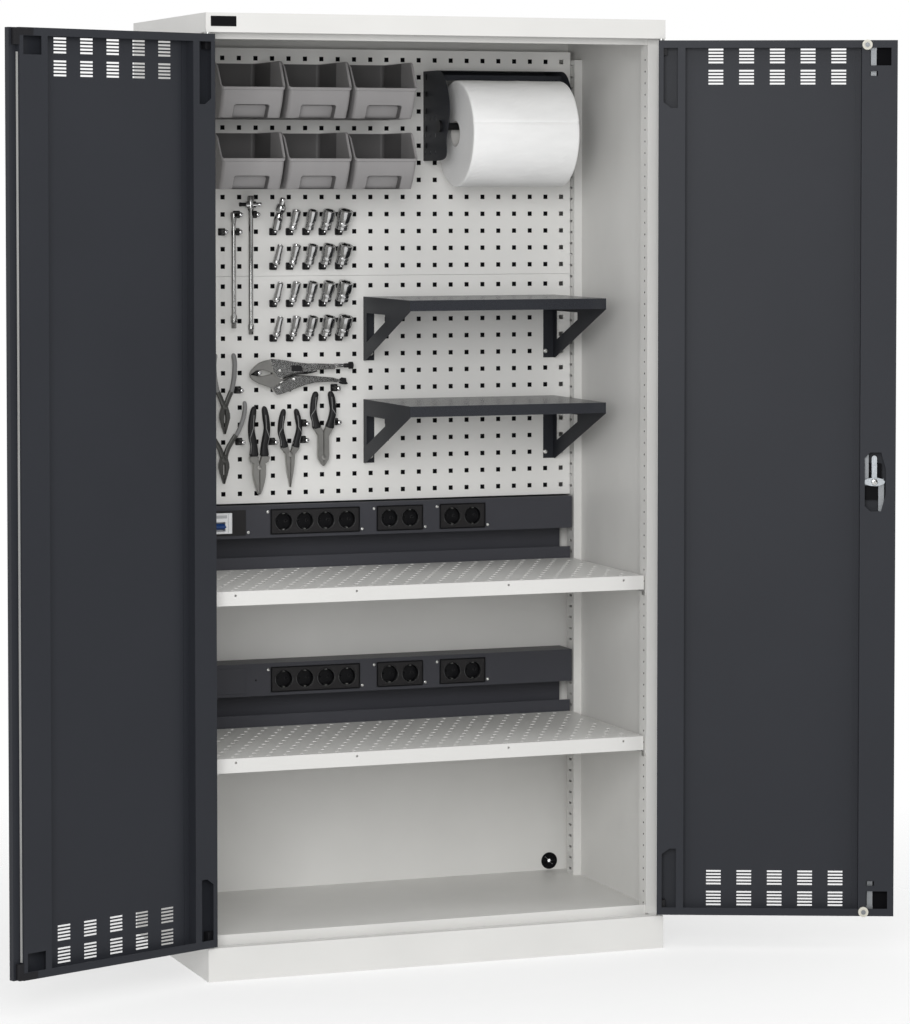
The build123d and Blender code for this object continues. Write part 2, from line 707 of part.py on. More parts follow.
def shelf_brackets(name, top):
    """Two side plates with a sloping strut and a flange screwed to the panel."""
    with BuildPart() as brackets:
        for x in (SHELF_LEFT, SHELF_RIGHT - SHEET):
            with BuildSketch(Plane.YZ.offset(x)):
                with BuildLine():
                    Polyline(
                        (PEG_FACE, top),
                        (SMALL_SHELF_FRONT, top),
                        (SMALL_SHELF_FRONT, top - 24),
                        (PEG_FACE - 11, top - 142),
                        (PEG_FACE, top - 142),
                        close=True,
                    )
                make_face()
                with BuildLine():
                    Polyline(
                        (PEG_FACE - 21, top - 36),
                        (PEG_FACE - 146, top - 36),
                        (PEG_FACE - 146, top - 52),
                        (PEG_FACE - 21, top - 101),
                        close=True,
                    )
                make_face(mode=Mode.SUBTRACT)
            extrude(amount=SHEET)
        for x in (SHELF_LEFT + SHEET, SHELF_RIGHT - SHEET - 24):
            block((x, x + 24), (PEG_FACE - SHEET, PEG_FACE), (top - 142, top - 27))
        with Locations(*[Location((x, PEG_FACE, top - 127), (90, 0, 0)) for x in SHELF_SCREWS]):
            Cylinder(3, 6, mode=Mode.SUBTRACT)
    brackets.part.label = name
    export_step(brackets.part, f"parts/{name}.step")


for level, top in SMALL_SHELF_TOPS.items():
    tool_shelf(f"tool_shelf_{level}", top)
    shelf_brackets(f"shelf_brackets_{level}", top)

# Hooks in the square holes and the hand tools on them

SOCKET_X = (-215.0, -177.0, -139.0, -101.0, -63.0)
SOCKET_R = (6.75, 8.0, 10.0, 12.5, 16.5)
SOCKET_Z = (1545.0, 1469.0, 1387.0, 1311.0)
SOCKET_LENGTH = 44.0
HOOK_R = 3.0
POST_TILT = (18, 8, 0)
STRAIGHT_HOOKS = (
    (-361, 1198), (-297, 1198), (-376, 1084), (-294, 1084.5), (-218.5, 1083),
    (-146, 1122), (-147, 1085.5), (-72, 1123.5), (-73.5, 1199), (-257, 1236),
    (-332, 1545), (-299, 1545), (-298, 1583), (-259, 1583),
)

with BuildPart() as tool_hooks:
    seats = [(x, z) for x in SOCKET_X for z in SOCKET_Z]
    with Locations(*[Location((x, PEG_FACE, z), (90, 0, 0)) for x, z in seats]):
        Cylinder(4, 25, align=(Align.CENTER, Align.CENTER, Align.MIN))
    with Locations(*[Location((x, PEG_FACE - 21, z), POST_TILT) for x, z in seats]):
        Cylinder(HOOK_R, SOCKET_LENGTH, align=(Align.CENTER, Align.CENTER, Align.MIN))
    with Locations(*[Location((x, PEG_FACE, z), (90, 0, 0)) for x, z in STRAIGHT_HOOKS]):
        Cylinder(4, 40, align=(Align.CENTER, Align.CENTER, Align.MIN))
    for places, thickness in ((seats, 6), (STRAIGHT_HOOKS, 2)):
        with BuildSketch(Plane.XZ.offset(-PEG_FACE)) as plates:
            with Locations(*places):
                Rectangle(16, 16)
        extrude(plates.sketch, amount=thickness)
    for x, z in seats:
        block((x - 4, x + 4), (PEG_FACE, PEG_FACE + 8), (z - 5, z + 2))
tool_hooks.part.label = "tool_hooks"
export_step(tool_hooks.part, "parts/tool_hooks.step")

with BuildPart() as socket_bits:
    for x, radius in zip(SOCKET_X, SOCKET_R):
        with Locations(*[Location((x, PEG_FACE - 21, z), POST_TILT) for z in SOCKET_Z]):
            with Locations((0, 0, 6)):
                Cylinder(radius, SOCKET_LENGTH, align=(Align.CENTER, Align.CENTER, Align.MIN))
                Cylinder(HOOK_R + 0.2, 3 * SOCKET_LENGTH, mode=Mode.SUBTRACT)
            with Locations((0, 0, 6 + SOCKET_LENGTH - 14)):
                Cylinder(
                    radius - 2,
                    20,
                    align=(Align.CENTER, Align.CENTER, Align.MIN),
                    mode=Mode.SUBTRACT,
                )
socket_bits.part.label = "socket_bits"
export_step(socket_bits.part, "parts/socket_bits.step")

TOOL_Y = (PEG_FACE - 26, PEG_FACE - 14)

with BuildPart() as drive_bars:
    for x, low, high in ((-310, 1334, 1588), (-271, 1320, 1624)):
        with Locations((x, PEG_FACE - 20, low)):
            Cylinder(6, high - low, align=(Align.CENTER, Align.CENTER, Align.MIN))
    block((-317, -303), (PEG_FACE - 27, PEG_FACE - 13), (1561, 1588))
    block((-297, -247), (PEG_FACE - 26, PEG_FACE - 14), (1597, 1609))
drive_bars.part.label = "drive_bars"
export_step(drive_bars.part, "parts/drive_bars.step")

# Pivot across, pivot height, handle length, half spread, jaw length and half jaw width
PLIERS = (
    (-331, 1163, 117, 22, 58, 11),
    (-335, 1054, 117, 45, 53, 10),
    (-254, 1046, 117, 28, 78, 13),
    (-183.5, 1064, 89, 30, 80, 11),
    (-105, 1108, 83, 34, 80, 13),
)

with BuildPart() as pliers:
    for x, z, handle, spread, jaw, width in PLIERS:
        with BuildSketch(Plane.XZ.offset(-TOOL_Y[1])):
            for side in (-1, 1):
                outline = [
                    (0, -10),
                    (width, -10),
                    (width, 6),
                    (spread, handle * 0.45),
                    (spread + 3, handle * 0.8),
                    (spread - 1, handle),
                    (spread - 12, handle),
                    (spread - 9, handle * 0.75),
                    (spread - 12, handle * 0.45),
                    (0, 14),
                ]
                with BuildLine():
                    Polyline(*[(x + side * u, z + v) for u, v in outline], close=True)
                make_face()
            with BuildLine():
                Polyline(
                    (x - width, z),
                    (x + width, z),
                    (x + width, z - 0.3 * jaw),
                    (x + 3, z - jaw),
                    (x - 3, z - jaw),
                    (x - width, z - 0.3 * jaw),
                    close=True,
                )
            make_face()
        extrude(amount=TOOL_Y[1] - TOOL_Y[0])
    with BuildSketch(Plane.XZ.offset(-TOOL_Y[1])):
        with BuildLine():
            Polyline(
                (-272, 1236), (-226, 1264), (-90, 1252), (-36, 1249), (-36, 1241),
                (-140, 1237), (-90, 1228), (-62, 1212), (-75, 1206), (-120, 1216),
                (-205, 1190), (-262, 1222), close=True,
            )
        make_face()
        with Locations((-257, 1237)):
            Circle(9, mode=Mode.SUBTRACT)
    extrude(amount=TOOL_Y[1] - TOOL_Y[0])
pliers.part.label = "pliers"
export_step(pliers.part, "parts/pliers.step")


# Doors, drawn where they stand open

def level_plane(side):
    """Level plane of an open door: first axis across its width from the hinge edge."""
    turn = radians(OPEN_ANGLE)
    across = Vector(-side * cos(turn), -sin(turn), 0)
    inward = Vector(-side * sin(turn), cos(turn), 0)
    corner = Vector(side * PIVOT_X, PIVOT_Y, 0) - across * PIVOT_S - inward * PIVOT_D
    return Plane(corner, x_dir=across, z_dir=Vector(0, 0, 1))


def face_plane(side, depth=0.0):
    """Upright plane of an open door, at a depth behind its outer face."""
    level = level_plane(side)
    corner = level.from_local_coords((0, -side * depth, 0))
    return Plane(corner, x_dir=level.x_dir, z_dir=level.x_dir.cross(Vector(0, 0, 1)))


def slab(side, s, d, z, mode=Mode.ADD):
    """A box in door measures: across from the hinge edge, depth, and height."""
    block(s, sorted((-side * d[0], -side * d[1])), z, mode)


def round_bar(side, s, d, z, radius, mode=Mode.ADD):
    """A round bar square to the door, between two depths."""
    with Locations(Location((s, -side * (d[0] + d[1]) / 2, z), (90, 0, 0))):
        Cylinder(radius, d[1] - d[0], mode=mode)


def both_ends(low, high):
    """A range of heights near the top of a door and its like near the bottom."""
    return ((low, high), (2 * DOOR_MID - high, 2 * DOOR_MID - low))


def door_skin(side, width):
    """Outer sheet with folded edges and rows of vent slots."""
    name = "door_skin_right" if side > 0 else "door_skin_left"
    inner = DOOR_DEPTH - SHEET
    far_stile = LOCK_STILE_S if side > 0 else FREE_STILE_S
    with BuildPart(level_plane(side)) as skin:
        slab(side, (0, width), (0, SHEET), (DOOR_LOW, DOOR_HIGH))
        slab(side, (0, SHEET), (SHEET, inner), (DOOR_LOW, DOOR_HIGH))
        edge = inner if side > 0 else REBATE_D
        slab(side, (width - SHEET, width), (SHEET, edge), (DOOR_LOW, DOOR_HIGH))
        if side < 0:
            wall = (REBATE_S - SHEET, REBATE_S)
            slab(side, (wall[0], width - SHEET), (REBATE_D - SHEET, REBATE_D),
                 (DOOR_LOW, DOOR_HIGH))
            slab(side, wall, (REBATE_D, inner), (DOOR_LOW, DOOR_HIGH))
        deep = width - SHEET if side > 0 else REBATE_S - SHEET
        for z in both_ends(DOOR_HIGH - SHEET, DOOR_HIGH):
            slab(side, (SHEET, width - SHEET), (SHEET, REBATE_D - SHEET), z)
            slab(side, (SHEET, deep), (REBATE_D - SHEET, inner), z)
        for z in both_ends(DOOR_HIGH - RAIL_HEIGHT, DOOR_HIGH):
            slab(side, (STILE_S, far_stile), (inner, DOOR_DEPTH), z)
        with Locations((PIVOT_S, -side * PIVOT_D, DOOR_MID)):
            Cylinder(4.5, DOOR_HIGH - DOOR_LOW + 2, mode=Mode.SUBTRACT)
        if side > 0:
            round_bar(side, LOCK_S, (-1, 2), LOCK_Z, 5.5, Mode.SUBTRACT)
            slab(side, (width - 2, width + 1), (12.5, 20), (LOCK_Z - 8.5, LOCK_Z + 40.5),
                 Mode.SUBTRACT)
            for z in both_ends(DOOR_HIGH - 2, DOOR_HIGH + 1):
                slab(side, (ROLLER_S - 7, LOCK_S + 2.5), (11, 16), z, Mode.SUBTRACT)
                slab(side, (ROLLER_S - 3.5, ROLLER_S + 3.5), (11, 26), z, Mode.SUBTRACT)
        with BuildSketch(face_plane(side)):
            for top in (1939.0, 1893.7):
                rows = [top - 1.9 - 6.9 * k for k in range(5)]
                rows += [2 * DOOR_MID - z for z in rows]
                columns = [VENT_STARTS[side] + 65.6 * k for k in range(5)]
                with Locations(*[(s, z) for s in columns for z in rows]):
                    Rectangle(31.6, 3.8)
        extrude(amount=2 * SHEET, both=True, mode=Mode.SUBTRACT)
    skin.part.label = name
    export_step(skin.part, f"parts/{name}.step")


def stile(side, name, face, wall, foot, openings):
    """An upright inner channel: face, one wall and a foot on the outer sheet."""
    inner = DOOR_DEPTH - SHEET
    with BuildPart(level_plane(side)) as channel:
        slab(side, face, (inner, DOOR_DEPTH), (DOOR_LOW, DOOR_HIGH))
        slab(side, wall, (SHEET, inner), (DOOR_LOW + SHEET, DOOR_HIGH - SHEET))
        slab(side, foot, (SHEET, 2 * SHEET), (DOOR_LOW + SHEET, DOOR_HIGH - SHEET))
        with BuildSketch(face_plane(side, DOOR_DEPTH)):
            openings()
        extrude(amount=2 * SHEET, both=True, mode=Mode.SUBTRACT)
        if side > 0 and foot[0] < wall[0]:
            for z in both_ends(1893, 1899):
                slab(side, (LOCK_S - 15, LOCK_S - 11.8), (11, inner), z)
                slab(side, (LOCK_S + 0.8, LOCK_S + 4), (11, inner), z)
    channel.part.label = name
    export_step(channel.part, f"parts/{name}.step")


def hinge_openings():
    """Two pockets with one clipped corner, over the hinge blocks."""
    for sign in (1, -1):
        corners = [(10.5, 1940), (41, 1940), (41, 1812), (27, 1812), (10.5, 1824)]
        with BuildLine() as pocket:
            Polyline(*[(s, DOOR_MID + sign * (z - DOOR_MID)) for s, z in corners], close=True)
        make_face(pocket.edges())


def lock_openings():
    """Windows and slots over the lock, the rods and their guides."""
    for s, z in (((450, 495.5), (1902, 1940)), ((450, 467), (1880, 1890)),
                 ((ROLLER_S - 3.5, ROLLER_S + 3.5), (1938, 1958))):
        for low, high in both_ends(*z):
            with Locations(((s[0] + s[1]) / 2, (low + high) / 2)):
                Rectangle(s[1] - s[0], high - low)
    with BuildLine() as opening:
        Polyline((443, 960), (455, 948.5), (478, 948.5), (488, 985), (488, 1040),
                 (478, 1075), (455, 1075), (443, 1063), close=True)
    make_face(opening.edges())


def free_openings():
    """One window near each end."""
    for low, high in both_ends(1903, 1940):
        with Locations((460, (low + high) / 2)):
            Rectangle(44, high - low)


def hinge_blocks(side):
    """Solid blocks in the hinge corners, bored for the pins."""
    name = "hinge_blocks_right" if side > 0 else "hinge_blocks_left"
    with BuildPart(level_plane(side)) as blocks:
        for z in both_ends(1925, DOOR_HIGH - SHEET):
            slab(side, (SHEET, 18), (SHEET, 16), z)
        with Locations((PIVOT_S, -side * PIVOT_D, DOOR_MID)):
            Cylinder(PIN_R + PIN_FIT, DOOR_HIGH - DOOR_LOW, mode=Mode.SUBTRACT)
    blocks.part.label = name
    export_step(blocks.part, f"parts/{name}.step")


door_skin(1, RIGHT_WIDTH)
door_skin(-1, LEFT_WIDTH)
stile(1, "hinge_stile_right", (0, STILE_S), (STILE_S - SHEET, STILE_S),
      (STILE_S, STILE_S + FOOT), hinge_openings)
stile(-1, "hinge_stile_left", (0, STILE_S), (STILE_S - SHEET, STILE_S),
      (STILE_S, STILE_S + FOOT), hinge_openings)
stile(1, "lock_stile_right", (LOCK_STILE_S, RIGHT_WIDTH), (LOCK_STILE_S, LOCK_STILE_S + SHEET),
      (LOCK_STILE_S - FOOT, LOCK_STILE_S), lock_openings)
stile(-1, "free_stile_left", (FREE_STILE_S, REBATE_S), (FREE_STILE_S, FREE_STILE_S + SHEET),
      (FREE_STILE_S - FOOT, FREE_STILE_S), free_openings)
hinge_blocks(1)
hinge_blocks(-1)

with BuildPart(level_plane(-1)) as corner_blocks_left:
    for z in both_ends(1922, DOOR_HIGH - SHEET):
        slab(-1, (REBATE_S, 503), (REBATE_D, 26), z)
    for z in both_ends(1941, DOOR_HIGH - SHEET):
        slab(-1, (458, REBATE_S), (DOOR_DEPTH, 26), z)
corner_blocks_left.part.label = "corner_blocks_left"
export_step(corner_blocks_left.part, "parts/corner_blocks_left.step")

with BuildPart(level_plane(-1)) as edge_seal_left:
    slab(-1, (REBATE_S, REBATE_S + 1.5), (15, 20), (110, 1908))
edge_seal_left.part.label = "edge_seal_left"
export_step(edge_seal_left.part, "parts/edge_seal_left.step")

with BuildPart() as hinge_pins:
    for x in (-PIVOT_X, PIVOT_X):
        for pin, washer in (((1946, 1975), (DOOR_HIGH + 0.4, CAP_UNDER)),
                            ((55, 84), (PLINTH_TOP, DOOR_LOW - 0.4))):
            with Locations((x, PIVOT_Y, (pin[0] + pin[1]) / 2)):
                Cylinder(PIN_R, pin[1] - pin[0])
            with Locations((x, PIVOT_Y, (washer[0] + washer[1]) / 2)):
                Cylinder(7, washer[1] - washer[0])
hinge_pins.part.label = "hinge_pins"
export_step(hinge_pins.part, "parts/hinge_pins.step")

# Lock with its handle, rods and rollers on the right door

with BuildPart(level_plane(1)) as lock_case:
    slab(1, (446, 480), (SHEET, 11), (972, 1050))
    round_bar(1, LOCK_S, (0, 12), LOCK_Z, 5.05, Mode.SUBTRACT)
lock_case.part.label = "lock_case"
export_step(lock_case.part, "parts/lock_case.step")

with BuildPart(level_plane(1)) as t_handle:
    round_bar(1, LOCK_S, (-0.3, 19), LOCK_Z, 5)
    round_bar(1, LOCK_S, (-6.3, -0.3), LOCK_Z, 25)
    round_bar(1, LOCK_S, (-16, -6.3), LOCK_Z, 9)
    slab(1, (LOCK_S - 11, LOCK_S + 11), (-34, -16), (LOCK_Z - 42, LOCK_Z + 42))
    round_bar(1, LOCK_S, (-35, -20), LOCK_Z, 8.05, Mode.SUBTRACT)
t_handle.part.label = "t_handle"
export_step(t_handle.part, "parts/t_handle.step")

with BuildPart(level_plane(1)) as lock_cylinder:
    round_bar(1, LOCK_S, (-34.6, -20.1), LOCK_Z, 8)
    slab(1, (LOCK_S - 0.8, LOCK_S + 0.8), (-36, -26), (LOCK_Z - 4, LOCK_Z + 4), Mode.SUBTRACT)
lock_cylinder.part.label = "lock_cylinder"
export_step(lock_cylinder.part, "parts/lock_cylinder.step")

with BuildPart(level_plane(1)) as lock_cam:
    for low, high, start, end in ((16, 19, 0, 34), (14, 16, 32, 50.5), (14, 19, 32, 34)):
        slab(1, (LOCK_S - 5.5, LOCK_S + 5.5), (low, high), (LOCK_Z + start, LOCK_Z + end))
    round_bar(1, LOCK_S, (14, 16), LOCK_Z + 50.5, 5.5)
    round_bar(1, LOCK_S, (16, 19), LOCK_Z, 9)
    with BuildSketch(face_plane(1, 19)):
        with Locations((LOCK_S, LOCK_Z)):
            Ellipse(22, 9)
    extrude(amount=3)
    with BuildSketch(face_plane(1, 22)):
        with Locations((LOCK_S, LOCK_Z)):
            Circle(6)
    extrude(amount=3)
    with BuildSketch(face_plane(1, 15)):
        with Locations((LOCK_S, LOCK_Z)):
            Circle(5)
    extrude(amount=4, mode=Mode.SUBTRACT)
lock_cam.part.label = "lock_cam"
export_step(lock_cam.part, "parts/lock_cam.step")


def lock_rod(name, path, plate, pin):
    """A flat rod with two bends, an end plate and the pin that carries its roller."""
    with BuildPart(level_plane(1)) as rod:
        with BuildSketch(face_plane(1, 12)) as flat:
            strip(path, 12)
        extrude(flat.sketch, amount=3)
        slab(1, (438, 465), (12, 15), plate)
        round_bar(1, ROLLER_S, (15, 35), pin, 3)
        round_bar(1, ROLLER_S, (33.8, 35), pin, 5)
    rod.part.label = name
    export_step(rod.part, f"parts/{name}.step")


def roller(name, z):
    """A ring that turns on the pin of a rod."""
    with BuildPart(level_plane(1)) as ring:
        round_bar(1, ROLLER_S, (26, 33.5), z, ROLLER_R)
        round_bar(1, ROLLER_S, (25, 35), z, 3.05, Mode.SUBTRACT)
    ring.part.label = name
    export_step(ring.part, f"parts/{name}.step")


PIN_LOW = 2 * DOOR_MID - ROLLER_Z

lock_rod("upper_rod", [(452, 1004), (452, 1090), (464.5, 1150), (464.5, 1936)],
         (1935, 1949.5), ROLLER_Z)
lock_rod("lower_rod", [(473, 1018), (473, 930), (452.5, 850), (452.5, 94)],
         (80.5, 95), PIN_LOW)
roller("roller_top", ROLLER_Z)
roller("roller_bottom", PIN_LOW)
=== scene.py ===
"""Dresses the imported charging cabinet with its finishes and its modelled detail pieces."""
import math

import bmesh
import bpy
import numpy as np
from bpy.props import FloatProperty, FloatVectorProperty, IntProperty, PointerProperty
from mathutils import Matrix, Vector


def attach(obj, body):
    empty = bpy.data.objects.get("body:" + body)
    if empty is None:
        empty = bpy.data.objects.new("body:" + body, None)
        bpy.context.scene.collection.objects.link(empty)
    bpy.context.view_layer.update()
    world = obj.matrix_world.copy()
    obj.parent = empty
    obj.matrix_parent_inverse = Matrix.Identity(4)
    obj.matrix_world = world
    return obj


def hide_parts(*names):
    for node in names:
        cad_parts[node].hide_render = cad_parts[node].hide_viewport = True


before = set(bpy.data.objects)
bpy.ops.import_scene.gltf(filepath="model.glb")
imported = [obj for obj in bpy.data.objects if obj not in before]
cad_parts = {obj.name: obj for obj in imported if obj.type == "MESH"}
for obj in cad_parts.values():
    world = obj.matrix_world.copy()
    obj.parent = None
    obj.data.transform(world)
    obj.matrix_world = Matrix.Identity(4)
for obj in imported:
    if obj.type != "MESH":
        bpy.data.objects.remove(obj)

bl_info = {
    "name": "Charging cabinet dressing",
    "version": (1, 0, 0),
    "blender": (4, 5, 0),
    "location": "3D View > Sidebar > Cabinet",
    "description": "Finishes and detail pieces of a battery charging cabinet",
    "category": "Object",
}

# Places taken over from the solids, in metres

DEPTH = 0.555
FRONT = -DEPTH / 2
PEG_FACE = FRONT + 0.491
# Pitch of the square holes
PITCH = 0.038
CHANNEL_FACE = FRONT + 0.470
OPEN_ANGLE = math.radians(157.7)
PIVOT = (0.5055, FRONT + 0.008)
PIVOT_S = 0.006
PIVOT_D = 0.008
LOCK_PLACE = (0.464, 1.0115)
BIN_X = (-0.3285, -0.1787, -0.029)
BIN_HOOK_X = (-0.329, -0.177, -0.025)
BIN_HALF = 0.0745
BIN_RIMS = {"upper": 1.913, "lower": 1.761}
BIN_HEIGHT = 0.1225
BIN_LENGTH = 0.230
BIN_LIP = 0.066
SOCKET_X = [-0.215 + PITCH * k for k in range(5)]
SOCKET_R = (0.0084, 0.0098, 0.0117, 0.0140, 0.0165)
SOCKET_Z = (1.545, 1.469, 1.387, 1.311)
ROLL_CENTRE = (0.2942, FRONT + 0.371, 1.7602)
ROLL_HALF = 0.12425
ROLL_RADIUS = 0.1175
CORE_RADIUS = 0.027
HOLDER_LEFT = 0.138
SHELF_TOPS = {"upper": 0.804, "lower": 0.455}
MODULE_RISE = 0.103
# Outlet modules: middle, width and number of outlets
MODULES = ((-0.124, 0.207, 4), (0.074, 0.109, 2), (0.223, 0.109, 2))
MODULE_HEIGHT = 0.056
OUTLET_PITCH = 0.049
# Frame of the breaker, and the blank cover below it: middle and width
BLANK_COVER = (-0.339, 0.109)
BREAKER = (-0.345, SHELF_TOPS["upper"] + MODULE_RISE)
SMALL_SHELF_TOPS = (1.400, 1.172)
# Plane that the flat tools hang in, and the places of the two drive bars
TOOL_PLANE = PEG_FACE - 0.020
EXTENSION_BAR = -0.310
SLIDING_BAR = (-0.271, 1.624)
HOOK_PLACES = (
    (-0.361, 1.198), (-0.297, 1.198), (-0.376, 1.084), (-0.294, 1.0845), (-0.2185, 1.083),
    (-0.146, 1.122), (-0.147, 1.0855), (-0.072, 1.1235), (-0.0735, 1.199), (-0.257, 1.236),
    (-0.332, 1.545), (-0.299, 1.545), (-0.298, 1.583), (-0.259, 1.583),
)
SHELF_SCREWS = (0.013, 0.431)
SHELF_SCREW_DROP = 0.127
CLIP_HOLES = 74
CLIP_PITCH = 0.025
CLIP_START = 0.091
HOLDER_HOOKS = (1.887, 1.849, 1.811, 1.7725, 1.7345)
# Square-hole panels: lowest and highest edge of the holed field
PANEL_FIELDS = {"upper": (1.451, 1.943), "lower": (0.951, 1.443)}


# Surfaces

def mm(*pairs):
    """Pairs given in millimetres, carried into metres."""
    return [(a / 1000, b / 1000) for a, b in pairs]


def grid_faces(rows, columns, start=0):
    """Quads of a grid of points counted row by row."""
    r, c = np.meshgrid(np.arange(rows - 1), np.arange(columns - 1), indexing="ij")
    a = (start + r * columns + c).ravel()
    return np.stack([a, a + 1, a + columns + 1, a + columns], axis=1)


def revolve(profile, centre, axis, sides=32, facet=None):
    """Turned surface: point(h, t) = centre + h*axis + r(h)*(cos t * u + sin t * v).

    profile holds (r, h) pairs; facet(row, t) may scale r, as for a hexagon."""
    axis = np.array(axis, float) / np.linalg.norm(axis)
    side = np.cross(axis, (0.0, 0.0, 1.0) if abs(axis[2]) < 0.9 else (1.0, 0.0, 0.0))
    u = side / np.linalg.norm(side)
    v = np.cross(axis, u)
    profile = np.array(profile, float)
    t = np.linspace(0, 2 * np.pi, sides + 1)
    r = profile[:, :1] * np.ones_like(t)
    if facet is not None:
        r = r * facet(np.arange(len(profile))[:, None], t[None, :])
    ring = np.cos(t)[:, None] * u + np.sin(t)[:, None] * v
    return np.array(centre) + profile[:, 1][:, None, None] * axis + r[:, :, None] * ring[None]


def sweep(path, widths, depths, flat=(0.0, 1.0, 0.0), sides=20, power=2.5):
    """A rounded section carried along a path: point(s, t) = path(s) + w(s)*c(t)*n + d(s)*q(t)*flat.

    c and q are the signed powers of cosine and sine that round off a rectangle. Both ends are
    drawn in to the path."""
    path = np.array(path, float)
    widths = np.broadcast_to(widths, len(path)).astype(float)
    depths = np.broadcast_to(depths, len(path)).astype(float)
    tangent = np.gradient(path, axis=0)
    tangent /= np.linalg.norm(tangent, axis=1)[:, None]
    flat = np.broadcast_to(flat, path.shape).astype(float)
    flat = flat - (flat * tangent).sum(1)[:, None] * tangent
    flat /= np.linalg.norm(flat, axis=1)[:, None]
    normal = np.cross(tangent, flat)
    t = np.linspace(0, 2 * np.pi, sides + 1)
    c = np.sign(np.cos(t)) * np.abs(np.cos(t)) ** (2 / power)
    q = np.sign(np.sin(t)) * np.abs(np.sin(t)) ** (2 / power)
    rings = (path[:, None] + (widths[:, None] * c)[:, :, None] * normal[:, None]
             + (depths[:, None] * q)[:, :, None] * flat[:, None])
    first, last = (np.repeat(end[:, None], sides + 1, axis=1) for end in (path[:1], path[-1:]))
    return np.concatenate([first, rings, last])


def smooth_path(points, count=24):
    """A smooth line through a few points: each stretch is a cubic with shared slopes."""
    points = np.array(points, float)
    slopes = np.gradient(points, axis=0)
    s = np.linspace(0, len(points) - 1 - 1e-9, count)
    i = s.astype(int)
    f = (s - i)[:, None]
    a, b = points[i], points[i + 1]
    m, n = slopes[i], slopes[i + 1]
    return ((2 * f**3 - 3 * f**2 + 1) * a + (f**3 - 2 * f**2 + f) * m
            + (3 * f**2 - 2 * f**3) * b + (f**3 - f**2) * n)


def rectangle_ring(half, length, corner, counts, turn=7):
    """Points round a rectangle with quarter-circle corners, counted from its back left.

    counts gives how far along its side each point stands, for the back, flanks and front."""
    back, flank, face = counts
    quarter = np.linspace(0, np.pi / 2, turn + 2)[1:-1]
    runs = []
    edges = (
        ((-half + corner, 0), (half - corner, 0), back, (half - corner, corner), -np.pi / 2),
        ((half, corner), (half, length - corner), flank, (half - corner, length - corner), 0),
        ((half - corner, length), (corner - half, length), face,
         (corner - half, length - corner), np.pi / 2),
        ((-half, length - corner), (-half, corner), flank, (corner - half, corner), np.pi),
    )
    for start, end, steps, centre, first in edges:
        steps = np.asarray(steps)[:, None]
        runs.append(np.array(start) * (1 - steps) + np.array(end) * steps)
        runs.append(np.array(centre) + corner * np.stack(
            [np.cos(first + quarter), np.sin(first + quarter)], axis=1))
    ring = np.concatenate(runs)
    return np.concatenate([ring, ring[:1]])


# Points on the sides of a small rounded rectangle
EASED = (np.linspace(0, 1, 3),) * 3
FRAME_SIDES = (np.linspace(0, 1, 5),) * 3


def box_outline(left, right, low, high):
    """Four corners of an upright rectangle."""
    return np.array([(left, low), (right, low), (right, high), (left, high)])


def plate(outline, low, high, bevel=0.0008, axis=1):
    """A flat plate with eased edges: rings of one outline at four depths, closed by two faces."""
    outline = np.array(outline, float)
    after = np.roll(outline, -1, 0) - outline
    before = outline - np.roll(outline, 1, 0)
    turn = (after / np.linalg.norm(after, axis=1)[:, None]
            + before / np.linalg.norm(before, axis=1)[:, None])
    inward = np.stack([-turn[:, 1], turn[:, 0]], axis=1)
    inward /= np.linalg.norm(inward, axis=1)[:, None]
    area = np.sum(outline[:, 0] * np.roll(outline[:, 1], -1)
                  - outline[:, 1] * np.roll(outline[:, 0], -1))
    inward *= np.sign(area)
    rings = []
    for inset, depth in ((bevel, low), (0, low + bevel), (0, high - bevel), (bevel, high)):
        flat = outline + inset * inward
        flat = np.concatenate([flat, flat[:1]])
        ring = np.empty((len(flat), 3))
        ring[:, axis] = depth
        ring[:, [k for k in range(3) if k != axis]] = flat
        rings.append(ring)
    return np.array(rings)


def door_frame(side):
    """Corner and directions of an open door: across from the hinge edge, and into its depth."""
    across = np.array((-side * math.cos(OPEN_ANGLE), -math.sin(OPEN_ANGLE), 0.0))
    inward = np.array((-side * math.sin(OPEN_ANGLE), math.cos(OPEN_ANGLE), 0.0))
    corner = np.array((side * PIVOT[0], PIVOT[1], 0.0)) - across * PIVOT_S - inward * PIVOT_D
    return corner, across, inward


def door_point(side, s, d, z):
    """A point of an open door from its measures across, in depth and in height."""
    corner, across, inward = door_frame(side)
    return corner + s * across + d * inward + np.array((0.0, 0.0, z))


def onto_door(side, points):
    """Carries points given as (across, depth, height) onto an open door."""
    corner, across, inward = door_frame(side)
    rise = np.array((0.0, 0.0, 1.0))
    return corner + points[..., :1] * across + points[..., 1:2] * inward + points[..., 2:] * rise


